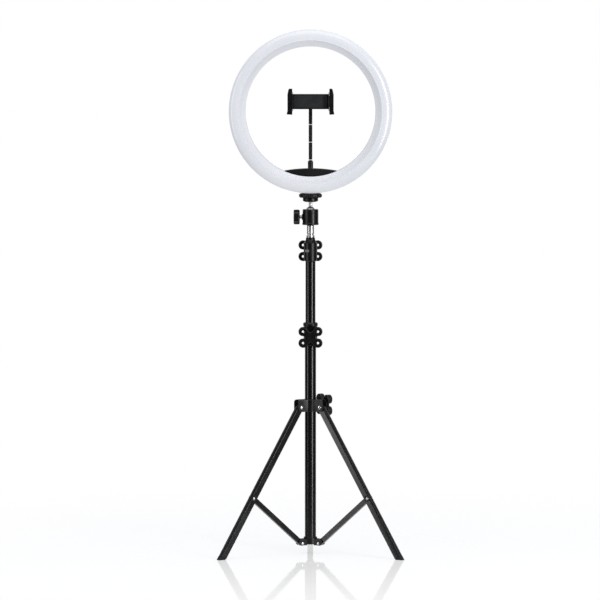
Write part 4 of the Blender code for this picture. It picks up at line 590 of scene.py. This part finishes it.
def makeElbow():
    low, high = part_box("neck_elbow")
    x = middleOf("neck_elbow")[0]
    radius = (high[0] - low[0]) / 2
    y = high[1] - radius
    ballCentre = jointNamed("holder_tilt")["pos_m"]
    ballRadius = ballCentre[1] - low[1]
    edge = elbowLook["edge"]
    outline = [(0, low[2]), (radius * elbowLook["footShare"], low[2] + 0.0004),
               (radius, low[2] + elbowLook["footRise"])]
    outline += arcPoints((radius - edge, high[2] - edge), edge, 0, 90, 6) + [(0, high[2])]
    elbow = turnOnLathe("neckElbow", outline, (x, y, 0), "Z", 64, False)
    stub = elbowLook["ballNeck"]
    meet = math.degrees(math.acos(stub / ballRadius))
    ball = [(0, -ballRadius)] + arcPoints((0, 0), ballRadius, -84, meet, 20)
    ball += [(stub, y - ballCentre[1]), (0, y - ballCentre[1])]
    combine(elbow, turnOnLathe("swivelBall", ball, ballCentre, "Y", 48, False), "UNION")
    finishPiece(elbow, nylonBlack, "neck_elbow", "neck_elbow")


def makeSwivelNut():
    nut = copyOfNode("swivel_nut", "swivelNut", clampLook["nutEdge"], 2)
    low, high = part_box("swivel_nut")
    centre = middleOf("swivel_nut")
    reach = (high[0] - low[0]) / 2 + clampLook["fluteOffset"]
    cutters = []
    for i in range(clampLook["nutFlutes"]):
        turn = math.tau * i / clampLook["nutFlutes"]
        spot = (centre[0] + math.cos(turn) * reach, 0, centre[2] + math.sin(turn) * reach)
        place = placeOnAxis(spot, (0, 1, 0))
        cutters.append(roundBar("flute", clampLook["fluteRadius"], low[1] + clampLook["fluteStart"],
                                high[1] + cutPast, place, 16))
    combine(nut, joined("flutes", cutters))
    finishPiece(nut, nylonBlack, "swivel_nut", "swivel_nut")


def makeClamp():
    body = copyOfNode("holder_body", "clampBody", clampLook["bodyEdge"], 3)
    finishPiece(body, nylonBlack, "phone_clamp", "holder_body")
    jaw = copyOfNode("sliding_jaw", "clampJaw", clampLook["bodyEdge"], 3)
    finishPiece(jaw, nylonBlack, "sliding_jaw", "sliding_jaw")
    panel = copyOfNode("holder_panel", "clampPanel", clampLook["panelEdge"], 3)
    low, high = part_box("holder_panel")
    middle = middleOf("holder_panel")
    trimHeight = clampLook["trimHeight"]
    half = (high[0] - low[0]) / 2 - clampLook["trimMargin"]
    # a raised line along the top and the bottom
    for trimZ in (high[2] - clampLook["trimFromTop"], low[2] + clampLook["trimFromBottom"]):
        outline = [(-half, -trimHeight / 2), (half, -trimHeight / 2), (half, trimHeight / 2),
                   (-half, trimHeight / 2)]
        place = placeOnAxis((middle[0], low[1], trimZ), (0, -1, 0))
        trim = pushOut("trimLine", outline, -clampLook["trimSink"], clampLook["trimRise"], place)
        combine(panel, trim, "UNION")
    # the panel's grey includes painted sheen
    finishPiece(panel, sheenPaintedPanel, "phone_clamp", "holder_panel")
    for node, body in (("jaw_pad_fixed", "phone_clamp"), ("jaw_pad_sliding", "sliding_jaw")):
        makeGripPad(node, body)
    dressNode("jaw_spring", brightSteel)


def makeGripPad(node, body):
    pad = copyOfNode(node, node + "Fine", clampLook["padEdge"], 2)
    low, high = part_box(node)
    middle = middleOf(node)
    side = 1 if middle[0] < columnX else -1  # the grooves are in the face towards the phone
    count = clampLook["padGrooves"]
    cutters = []
    for i in range(count):
        z = low[2] + (high[2] - low[2]) * (i + 0.5) / count
        bulge = math.cos(math.pi * (2 * (i + 0.5) / count - 1) * 4 / 9)
        thick = (high[0] - low[0]) * (0.45 + 0.55 * bulge)
        faceX = low[0] + thick if side > 0 else high[0] - thick
        place = placeOnAxis((faceX, middle[1], z), (side, 0, 0))
        cutters.append(bladeCutter("groove", 0.020, clampLook["grooveWidth"], -clampLook["grooveDepth"],
                                   2 * cutPast, place))
    combine(pad, joined("grooves", cutters))
    finishPiece(pad, softRubber, body, node)


makeNeck()
makeFerrule()
makeElbow()
makeSwivelNut()
makeClamp()
print("neck and clamp done")

# ball head

housingLook = dict(edge=0.0012, lip=0.0005, lipEdge=0.0006, lipSide=0.0028, lipHeight=0.0034, floor=0.0068,
                   notchWidth=0.0066, notchDepth=0.0085, cupWall=0.0004, screwHole=0.0029, screwRim=0.0048,
                   rimSink=0.0030, rimRise=0.0012)
ballLook = dict(ballRadius=0.0073, stem=0.0028, stud=0.00315, threadDepth=0.0004, threadPitch=0.00127,
                wheelRound=0.0030, wheelEdge=0.0006, wheelGrooves=40, wheelGroove=0.0006)
ballKnobLook = dict(lobes=6, lobeDepth=0.0011, edge=0.0024, capRing=0.0052, ringDepth=0.0004, cap=0.0048,
                    capSink=0.0020, socket=0.0029, socketRoof=0.0047)


spigotLook = dict(footStep=0.00095, tenon=0.0040, groove=0.0006)


def makeBallHousing():
    look = housingLook
    low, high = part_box("ball_housing")
    x, y = middleOf("ball_housing")[:2]
    ballZ = jointNamed("ball_tilt")["pos_m"][2]
    lipRadius = (high[0] - low[0]) / 2
    radius = lipRadius - look["lip"]
    seat = ballLook["ballRadius"] + seatGap
    bore = seat + look["cupWall"] + seatGap
    hole = ballLook["stud"] + seatGap
    floor = low[2] + look["floor"]
    rimAngle = math.degrees(math.asin((high[2] - ballZ) / seat))
    edge, lipEdge = look["edge"], look["lipEdge"]
    outline = [(hole, low[2])] + arcPoints((lipRadius - lipEdge, low[2] + lipEdge), lipEdge, -90, 0, 4)
    outline += [(lipRadius, low[2] + look["lipSide"]), (radius, low[2] + look["lipHeight"])]
    outline += arcPoints((radius - edge, high[2] - edge), edge, 0, 90, 6)
    outline += arcPoints((0, ballZ), seat, rimAngle, 0, 8)
    outline += [(bore, ballZ - 0.0008), (bore, floor), (hole, floor)]
    housing = turnOnLathe("ballHousing", outline, (x, y, 0), "Z", 128)
    # the notch that lets the stem lie down to the side
    half = look["notchWidth"] / 2
    bottom = high[2] - look["notchDepth"] + half
    notch = [(half, 0.003), (-half, 0.003)] + arcPoints((0, bottom - high[2]), half, 180, 360, 16)
    place = placeOnAxis((x, y, high[2]), (0, 1, 0))
    past = lipRadius + 2 * cutPast
    combine(housing, pushOut("notch", notch, 0.002, past, place))
    place = placeOnAxis(jointNamed("ball_knob_turn")["pos_m"], (-1, 0, 0))
    combine(housing, roundBar("screwHole", look["screwHole"], 0.002, past, place, 32))
    rim = pushOut("screwRim", arcPoints((0, 0), look["screwRim"], 0, 348.75, 31), radius - look["rimSink"],
                  radius + look["rimRise"], place)
    combine(rim, roundBar("rimHole", look["screwHole"], 0.002, lipRadius + 4 * cutPast, place, 32))
    combine(housing, rim, "UNION")
    finishPiece(housing, nylonBlack, "top_section", "ball_housing")


def makeBallAndStem():
    low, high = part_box("ball_and_stem")
    x, y = middleOf("ball_and_stem")[:2]
    ballZ = jointNamed("ball_tilt")["pos_m"][2]
    radius, stem, stud = ballLook["ballRadius"], ballLook["stem"], ballLook["stud"]
    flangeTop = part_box("stem_flange")[1][2]
    meet = math.degrees(math.acos(stem / radius))
    outline = [(0, ballZ - radius)] + arcPoints((0, ballZ), radius, -86, meet, 28)
    outline.append((stem, flangeTop))
    thread = ballLook["threadPitch"]  # 20 turns to the inch
    root = stud - ballLook["threadDepth"]
    start = flangeTop + seatGap
    outline.append((root, start))
    while start + thread < high[2] - 0.0006:
        outline += [(stud, start + thread * 0.35), (stud, start + thread * 0.55),
                    (root, start + thread * 0.95)]
        start += thread
    outline += [(stud - 0.0006, high[2]), (0, high[2])]
    finishPiece(turnOnLathe("ballAndStem", outline, (x, y, 0), "Z", 72, False), brightSteel, "ball_stem",
                "ball_and_stem")
    low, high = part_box("stem_flange")
    reach = (high[0] - low[0]) / 2
    outline = [(stem + seatGap, low[2]), (reach * 0.72, low[2]), (reach - 0.0006, low[2] + 0.0013)]
    outline += arcPoints((reach - 0.0006, low[2] + 0.0020), 0.0006, -40, 0, 3)
    outline += arcPoints((reach - 0.0005, high[2] - 0.0005), 0.0005, 0, 90, 4)
    outline.append((stem + seatGap, high[2]))
    finishPiece(turnOnLathe("stemFlange", outline, (x, y, 0), "Z", 96), nylonBlack, "ball_stem",
                "stem_flange")


def makeLockWheel():
    low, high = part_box("lock_wheel")
    x, y = middleOf("lock_wheel")[:2]
    radius = (high[0] - low[0]) / 2
    bore = ballLook["stud"] + seatGap
    curve, edge = ballLook["wheelRound"], ballLook["wheelEdge"]
    outline = [(bore, low[2]), (radius - 0.0046, low[2])]
    outline += arcPoints((radius - curve, low[2] + curve), curve, -70, 0, 7)
    outline += arcPoints((radius - edge, high[2] - edge), edge, 0, 90, 4)
    outline.append((bore, high[2]))
    wheel = turnOnLathe("lockWheel", outline, (x, y, 0), "Z", 160)
    cutters = []
    for i in range(ballLook["wheelGrooves"]):
        turn = math.tau * (i + 0.5) / ballLook["wheelGrooves"]
        spot = (x + math.cos(turn) * (radius + 0.0005), y + math.sin(turn) * (radius + 0.0005), 0)
        cutters.append(roundBar("knurl", 0.0005 + ballLook["wheelGroove"], low[2] - cutPast,
                                high[2] + cutPast, Matrix.Translation(spot), 12))
    combine(wheel, joined("knurls", cutters))
    finishPiece(wheel, nylonBlack, "lock_wheel", "lock_wheel")
    low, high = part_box("wheel_pad")
    reach = (high[0] - low[0]) / 2
    outline = [(bore, low[2]), (reach - 0.0002, low[2]), (reach, low[2] + 0.0003),
               (reach, high[2] - 0.0003), (reach - 0.0002, high[2]), (bore, high[2])]
    disc = turnOnLathe("wheelDisc", outline, (x, y, 0), "Z", 96)
    finishPiece(disc, softRubber, "lock_wheel", "wheel_pad")


def makeBallKnob():
    joint = jointNamed("ball_knob_turn")
    near, far = spanAlong("ball_lock_knob", joint["pos_m"], joint["axis"])
    reach = sizeOf("ball_lock_knob")[2] / 2
    place = placeOnAxis(joint["pos_m"], joint["axis"])
    look = ballKnobLook
    count = 120
    outline = []
    for i in range(count):  # a wavy rim with low lobes
        turn = math.tau * i / count
        r = reach - look["lobeDepth"] + look["lobeDepth"] * math.cos(look["lobes"] * turn)
        outline.append((r * math.sin(turn), r * math.cos(turn)))
    knob = pushOut("ballKnob", outline, near, far, place, 50)
    roundEdges(knob, look["edge"], 6, 50, 50)
    past = far + 2 * cutPast
    ring = roundBar("capRing", look["capRing"], far - look["ringDepth"], past, place, 48)
    combine(knob, ring, "DIFFERENCE", 50)
    cap = roundBar("cap", look["cap"], far - look["capSink"], far - 0.0001, place, 48)
    combine(knob, cap, "UNION", 50)
    socket = roundBar("socket", look["socket"], near - 2 * cutPast, far - look["socketRoof"], place, 32)
    combine(knob, socket, "DIFFERENCE", 50)
    finishPiece(knob, nylonBlack, "ball_knob", "ball_lock_knob")
    dressNode("ball_lock_screw", brightSteel)
    dressNode("friction_cup", boardWhite)


def makeSpigot():
    low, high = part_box("spigot")
    x, y = middleOf("spigot")[:2]
    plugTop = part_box("tube_plug")[1][2]
    seat = plugTop + seatGap
    foot = (high[0] - low[0]) / 2
    radius = foot - spigotLook["footStep"]
    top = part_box("ball_housing")[0][2] - seatGap
    tenon = spigotLook["tenon"]
    outline = [(0, low[2]), (tenon, low[2]), (tenon, seat), (foot - 0.0003, seat)]
    outline += arcPoints((foot - 0.0004, seat + 0.0026), 0.0004, 0, 90, 3)
    groove = radius - spigotLook["groove"]
    outline += [(groove, seat + 0.0036), (groove, seat + 0.0052),
                (radius + 0.0002, seat + 0.0058), (radius + 0.0004, seat + 0.0062),
                (radius, seat + 0.0074), (radius, top - 0.0012), (radius - 0.0008, top),
                (ballLook["stud"], top), (ballLook["stud"], high[2]), (0, high[2])]
    finishPiece(turnOnLathe("spigotTurned", outline, (x, y, 0), "Z", 96, False), brightSteel, "top_section",
                "spigot")


makeBallHousing()
makeBallAndStem()
makeLockWheel()
makeBallKnob()
makeSpigot()
print("ball head done")

# column, collars and clamp knobs

tubeLook = dict(steps=96, wall=0.0007, lip=0.00025)
plugLook = dict(bore=0.0043, boreDepth=0.0086, neckReach=0.0004, flange=0.0024, flangeEdge=0.0004)
collarLook = dict(edge=0.00045, seamWidth=0.0009, seamRise=0.0002, seamSink=0.0010, lippedMargin=0.0075,
                  plainMargin=0.0030, lip=0.0011, padTurn=-119, padPlace=0.55, padWidth=0.0072,
                  padHeight=0.0042, padCorner=0.0006, padSink=0.0008, padRise=0.0006, padEdge=0.00025)
knobLook = dict(lobeReach=0.0148, lobeRadius=0.0075, lobeAngle=38, waistSide=0.0093, waistTop=0.0080,
                waistTurn=9, waistRise=0.0003, edge=0.0020, hub=0.0056, hubSink=0.0005, hubRise=0.0012,
                hole=0.0021, dimple=0.0030, dimpleDepth=0.0007, bore=0.0026, boreRoof=0.0040)


def makeTubes():
    for node, body in (("lower_tube", "stand"), ("middle_tube", "middle_section"),
                       ("top_tube", "top_section")):
        low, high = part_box(node)
        radius, lip, wall = (high[0] - low[0]) / 2, tubeLook["lip"], tubeLook["wall"]
        outline = [(radius - lip, low[2]), (radius, low[2] + lip), (radius, high[2] - lip),
                   (radius - lip, high[2]), (radius - wall, high[2]), (radius - wall, low[2])]
        tube = turnOnLathe(node + "Drawn", outline, (columnX, columnY, 0), "Z", tubeLook["steps"])
        finishPiece(tube, powderBlack, body, node)


def makePlug():
    low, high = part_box("tube_plug")
    tube = sizeOf("top_tube")[0] / 2
    reach = (high[0] - low[0]) / 2
    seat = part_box("top_tube")[1][2] + seatGap
    bore, floor = plugLook["bore"], high[2] - plugLook["boreDepth"]
    neck, edge = tube + plugLook["neckReach"], plugLook["flangeEdge"]
    outline = [(0, low[2]), (tube - 0.0011, low[2]), (tube - 0.0010, seat), (reach - 0.0003, seat)]
    outline += arcPoints((reach - edge, seat + 2 * edge), edge, -10, 60, 3)
    outline += [(tube + 0.0009, seat + plugLook["flange"]), (neck, seat + 0.0036), (neck, high[2] - 0.0009),
                (tube - 0.0004, high[2]), (bore, high[2]), (bore, floor), (0, floor)]
    plug = turnOnLathe("tubeCap", outline, (columnX, columnY, 0), "Z", 80, False)
    finishPiece(plug, nylonBlack, "top_section", "tube_plug")


def makeCollar(node, body, joint, lipped):
    look = collarLook
    collar = copyOfNode(node, node + "Moulded", look["edge"], 3, 30)
    low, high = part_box(node)
    axis = Vector(jointNamed(joint)["axis"])
    middle = Vector((columnX, columnY, (low[2] + high[2]) / 2))
    wall = (high[0] - low[0]) / 2
    sideways = Vector((0, 0, 1)).cross(axis)
    side = look["seamWidth"] / 2
    half = (high[2] - low[2]) / 2 - (look["lippedMargin"] if lipped else look["plainMargin"])
    seamRadius = wall - (look["lip"] if lipped else 0.0)
    outline = [(-side, -half), (side, -half), (side, half), (-side, half)]
    for turn in (-1, 1):  # the two mould seams stand proud of the sides
        place = placeOnAxis(middle, sideways * turn)
        seam = pushOut("seam", outline, seamRadius - look["seamSink"], seamRadius + look["seamRise"], place)
        combine(collar, seam, "UNION")
    finishPiece(collar, nylonBlack, body, node)


def makeCollarPad():
    low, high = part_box("upper_collar")
    wall = (high[0] - low[0]) / 2
    look = collarLook
    turn = math.radians(look["padTurn"])
    outward = Vector((math.cos(turn), math.sin(turn), 0))
    place = placeOnAxis((columnX, columnY, low[2] + (high[2] - low[2]) * look["padPlace"]), outward)
    corner = look["padCorner"]
    half, tall = look["padWidth"] / 2 - corner, look["padHeight"] / 2 - corner
    outline = []
    for start, x, y in ((0, half, tall), (90, -half, tall), (180, -half, -tall), (270, half, -tall)):
        outline += arcPoints((x, y), corner, start, start + 90, 4)
    pad = pushOut("collarPad", outline, wall - look["padSink"], wall + look["padRise"], place)
    roundEdges(pad, look["padEdge"], 2)
    # the pad takes the panel grey with its painted sheen
    finishPiece(pad, sheenPaintedPanel, "middle_section")


def knobOutline():
    look = knobLook
    outline = []
    turns = [look["lobeAngle"], 180 - look["lobeAngle"], 180 + look["lobeAngle"], -look["lobeAngle"]]
    waists = [(90, look["waistTop"]), (180, look["waistSide"]), (270, look["waistTop"]),
              (0, look["waistSide"])]
    for turn, (waistTurn, waist) in zip(turns, waists):
        centre = (look["lobeReach"] * math.cos(math.radians(turn)),
                  look["lobeReach"] * math.sin(math.radians(turn)))
        outline += arcPoints(centre, look["lobeRadius"], turn - 100, turn + 100, 22)
        # the waist is a shallow arc between two lobes
        for aside in (-look["waistTurn"], 0, look["waistTurn"]):
            reach = waist + look["waistRise"] * abs(aside) / look["waistTurn"]
            angle = math.radians(waistTurn + aside)
            outline.append((reach * math.cos(angle), reach * math.sin(angle)))
    return outline


def makeKnob(prefix, body):
    look = knobLook
    joint = jointNamed(prefix + "_knob_turn")
    near, far = spanAlong(prefix + "_knob", joint["pos_m"], joint["axis"])
    face = far - look["hubRise"]
    start, past = near - 2 * cutPast, far + 2 * cutPast
    place = placeOnAxis(joint["pos_m"], joint["axis"])
    knob = pushOut(prefix + "Knob", knobOutline(), near, face, place, 50)
    roundEdges(knob, look["edge"], 4, 50, 50)
    combine(knob, roundBar("hub", look["hub"], near + look["hubSink"], far, place, 48), "UNION", 50)
    lobe = math.radians(look["lobeAngle"])
    lobeX, lobeY = look["lobeReach"] * math.cos(lobe), look["lobeReach"] * math.sin(lobe)
    cutters = []
    for x in (-lobeX, lobeX):
        for y in (-lobeY, lobeY):
            spot = place @ Matrix.Translation((x, y, 0))
            cutters.append(roundBar("eye", look["hole"], start, face + 2 * cutPast, spot, 32))
    combine(knob, joined("eyes", cutters), "DIFFERENCE", 50)
    dimple = roundBar("dimple", look["dimple"], far - look["dimpleDepth"], past, place, 32)
    combine(knob, dimple, "DIFFERENCE", 50)
    bore = roundBar("bore", look["bore"], start, far - look["boreRoof"], place, 32)
    combine(knob, bore, "DIFFERENCE", 50)
    finishPiece(knob, nylonBlack, body, prefix + "_knob")
    dressNode(prefix + "_clamp_screw", brightSteel)


makeTubes()
makePlug()
makeCollar("mid_collar", "stand", "mid_knob_turn", True)
makeCollar("upper_collar", "middle_section", "upper_knob_turn", False)
makeCollarPad()
makeKnob("mid", "mid_knob")
makeKnob("upper", "upper_knob")
makeKnob("hub", "hub_knob")
print("column done")

# tripod

tripodLook = dict(hubEdge=0.0005, legEdge=0.00018, braceEdge=0.00025, footEdge=0.0004, rivetCrown=0.0012,
                  rivetShank=0.0017, washerBore=0.0020, washerRadius=0.0047, washerThickness=0.0005,
                  capRadius=0.0025, capHeight=0.0009, capSink=0.0004, braceEndRadius=0.0040)


def makeRivet(node, joint, body, finish):
    origin, axis = Vector(joint["pos_m"]), Vector(joint["axis"])
    far = spanAlong(node, origin, axis)[1]
    reach = max((v.co - origin - axis * (v.co - origin).dot(axis)).length
                for v in frame["nodes"][node].data.vertices)
    crown = far - tripodLook["rivetCrown"]
    shank = tripodLook["rivetShank"]
    outline = [(0, -far)] + arcPoints((0, -crown), (reach, far - crown), -82, 0, 8)
    outline += [(shank, -crown), (shank, crown)] + arcPoints((0, crown), (reach, far - crown), 0, 82, 8)
    outline.append((0, far))
    rivet = turnOnLathe(node + "Domed", outline, (0, 0, 0), "Z", 40, False)
    rivet.matrix_world = placeOnAxis(origin, axis)
    settle(rivet)
    finishPiece(rivet, finish, body, node)


def makeWashers(side, joint):
    # black plastic washers under the heads of the brace rivet
    origin, axis = Vector(joint["pos_m"]), Vector(joint["axis"])
    wall = spanAlong("leg_" + side, origin, axis)[1]
    inner, outer, thick = (tripodLook[part] for part in ("washerBore", "washerRadius", "washerThickness"))
    parts = []
    for turn in (-1, 1):
        outline = [(inner, 0.00002), (outer, 0.00002), (outer, thick * 0.6), (outer - 0.0003, thick),
                   (inner, thick)]
        washer = turnOnLathe("washer", outline, (0, 0, 0), "Z", 48)
        washer.matrix_world = placeOnAxis(origin + axis * turn * wall, axis * turn)
        settle(washer)
        parts.append(washer)
    finishPiece(joined("washers_" + side, parts), softRubber, "leg_" + side)


def makeHubCaps():
    # the bright rivet heads in the bottom hub's forks
    parts = []
    for side in legSides:
        outward = radialDirection(side)
        tangent = Vector((0, 0, 1)).cross(outward)
        column = Vector((columnX, columnY, 0))
        reach, rise = [], []
        for v in frame["nodes"]["brace_" + side].data.vertices:
            reach.append((v.co - column).dot(outward))
            rise.append(v.co.z)
        end = tripodLook["braceEndRadius"]
        centre = column + outward * (min(reach) + end) + Vector((0, 0, min(rise) + end))
        headFace = 0.0
        for v in frame["nodes"]["bottom_hub"].data.vertices:
            offset = v.co - centre
            alongPin = offset.dot(tangent)
            if (offset - tangent * alongPin).length < 0.0026:
                headFace = max(headFace, alongPin)
        for turn in (-1, 1):
            radius, sink = tripodLook["capRadius"], tripodLook["capSink"]
            outline = [(0, -sink), (radius, -sink), (radius, 0.0001)]
            outline += arcPoints((0, 0.0001), (radius, tripodLook["capHeight"]), 10, 90, 8)
            cap = turnOnLathe("hubCap", outline, (0, 0, 0), "Z", 36, False)
            cap.matrix_world = placeOnAxis(centre + tangent * turn * headFace, tangent * turn)
            settle(cap)
            parts.append(cap)
    finishPiece(joined("hubCaps", parts), brightRivet, "stand")


def makeTripod():
    hub = copyOfNode("leg_hub", "legHub", tripodLook["hubEdge"], 2, 30)
    finishPiece(hub, nylonBlack, "leg_hub", "leg_hub")
    base = copyOfNode("bottom_hub", "bottomHub", tripodLook["hubEdge"], 2, 30)
    finishPiece(base, nylonBlack, "stand", "bottom_hub")
    for side in legSides:
        leg = copyOfNode("leg_" + side, "legChannel_" + side, tripodLook["legEdge"], 2, 50)
        finishPiece(leg, powderBlack, "leg_" + side, "leg_" + side)
        brace = copyOfNode("brace_" + side, "braceBar_" + side, tripodLook["braceEdge"], 2, 50)
        finishPiece(brace, powderBlack, "brace_" + side, "brace_" + side)
        foot = copyOfNode("foot_" + side, "footPlug_" + side, tripodLook["footEdge"], 3, 40)
        finishPiece(foot, softRubber, "leg_" + side, "foot_" + side)
        makeRivet("leg_rivet_" + side, jointNamed("leg_hinge_" + side), "leg_hub", brightRivet)
        makeRivet("brace_rivet_" + side, jointNamed("brace_hinge_" + side), "leg_" + side, brightRivet)
        makeWashers(side, jointNamed("brace_hinge_" + side))
    makeHubCaps()


makeTripod()
print("tripod done")

# studio

studioLook = dict(floorSize=14.0, floorTint=(0.96, 0.96, 0.97), floorTint2=(0.98, 0.98, 0.985),
                  cloudScale=1.5, floorRough=0.05, floorGlow=0.20, floorHold=0.60, holdFrom=0.16,
                  holdTo=0.9,
                  backdrop=1.0, roomFront=0.06, roomBehind=1.0, roomTop=0.20, aimZ=0.42)
lights = {  # name: place, size, power
    "stripLeft": dict(place=(-1.99, -1.15, 0.75), size=(0.50, 1.9), power=10),
    "stripRight": dict(place=(1.51, -1.74, 0.75), size=(0.55, 1.9), power=26),
    "topSoft": dict(place=(0.0, -0.6, 2.6), size=(2.2, 2.0), power=20),
}
cameraLook = dict(distance=7.2, elevation=4.0, width=0.957, targetZ=0.4067, aside=-0.0167)


def makeFloor():
    clearSelection()
    bpy.ops.mesh.primitive_plane_add(size=studioLook["floorSize"], location=(0, 0, cadBounds[0][2]))
    floor = bpy.context.object
    floor.name = "studioFloor"
    floorFinish, nodes, links, shader = newFinish("studioFloor")
    place = nodes.new("ShaderNodeTexCoord")
    cloud = nodes.new("ShaderNodeTexNoise")
    cloud.inputs["Scale"].default_value = studioLook["cloudScale"]
    links.new(place.outputs["Object"], cloud.inputs["Vector"])
    tint = nodes.new("ShaderNodeMix")
    tint.data_type = "RGBA"
    tint.inputs["A"].default_value = (*studioLook["floorTint"], 1)
    tint.inputs["B"].default_value = (*studioLook["floorTint2"], 1)
    links.new(cloud.outputs["Fac"], tint.inputs["Factor"])
    links.new(tint.outputs["Result"], shader.inputs["Base Color"])
    # the floor thins out into the white backdrop, so no horizon shows
    reach = nodes.new("ShaderNodeVectorMath")
    reach.operation = "LENGTH"
    links.new(place.outputs["Object"], reach.inputs[0])
    fade = addRamp(nodes, links, reach.outputs["Value"], studioLook["holdFrom"], studioLook["holdTo"],
                   studioLook["floorHold"], 0.0)
    links.new(fade, shader.inputs["Alpha"])
    shader.inputs["Roughness"].default_value = studioLook["floorRough"]
    shader.inputs["Emission Color"].default_value = (1, 1, 1, 1)
    shader.inputs["Emission Strength"].default_value = studioLook["floorGlow"]
    floor.data.materials.append(floorFinish)


def makeRoom():
    world = bpy.data.worlds.new("studioWorld")
    bpy.context.scene.world = world
    world.use_nodes = True
    nodes, links = world.node_tree.nodes, world.node_tree.links
    nodes.clear()
    out = nodes.new("ShaderNodeOutputWorld")
    pick = nodes.new("ShaderNodeMixShader")
    rays = nodes.new("ShaderNodeLightPath")
    # dark in front, light behind the stand and softly light overhead
    place = nodes.new("ShaderNodeTexCoord")
    split = nodes.new("ShaderNodeSeparateXYZ")
    links.new(place.outputs["Generated"], split.inputs["Vector"])
    behind = addRamp(nodes, links, split.outputs["Y"], 0.50, 0.95, studioLook["roomFront"],
                     studioLook["roomBehind"])
    above = addRamp(nodes, links, split.outputs["Z"], 0.35, 0.95, 0.0, studioLook["roomTop"])
    room = nodes.new("ShaderNodeBackground")
    room.inputs["Color"].default_value = (0.94, 0.96, 1.0, 1)
    links.new(addMath(nodes, links, "ADD", behind, above), room.inputs["Strength"])
    white = nodes.new("ShaderNodeBackground")
    white.inputs["Color"].default_value = (1, 1, 1, 1)
    white.inputs["Strength"].default_value = studioLook["backdrop"]
    links.new(rays.outputs["Is Camera Ray"], pick.inputs["Fac"])
    links.new(room.outputs["Background"], pick.inputs[1])
    links.new(white.outputs["Background"], pick.inputs[2])
    links.new(pick.outputs["Shader"], out.inputs["Surface"])


def makeLights():
    aim = Vector((columnX, columnY, studioLook["aimZ"]))
    for name, light in lights.items():
        bpy.ops.object.light_add(type="AREA", location=light["place"])
        lamp = bpy.context.object
        lamp.name = name
        lamp.data.shape = "RECTANGLE"
        lamp.data.size, lamp.data.size_y = light["size"]
        lamp.data.energy = light["power"]
        lamp.rotation_euler = (aim - lamp.location).to_track_quat("-Z", "Y").to_euler()


def makeCamera():
    target = Vector((columnX + cameraLook["aside"], columnY, cameraLook["targetZ"]))
    lift = math.radians(cameraLook["elevation"])
    away = Vector((0, -math.cos(lift), math.sin(lift))) * cameraLook["distance"]
    bpy.ops.object.camera_add(location=target + away)
    camera = bpy.context.object
    camera.rotation_euler = (-away).to_track_quat("-Z", "Y").to_euler()
    camera.data.sensor_width = 36
    camera.data.lens = 36 * cameraLook["distance"] / cameraLook["width"]
    camera.data.clip_end = 60
    bpy.context.scene.camera = camera


makeFloor()
makeRoom()
makeLights()
makeCamera()
bpy.context.scene.view_settings.view_transform = "Standard"
print("studio and camera done")
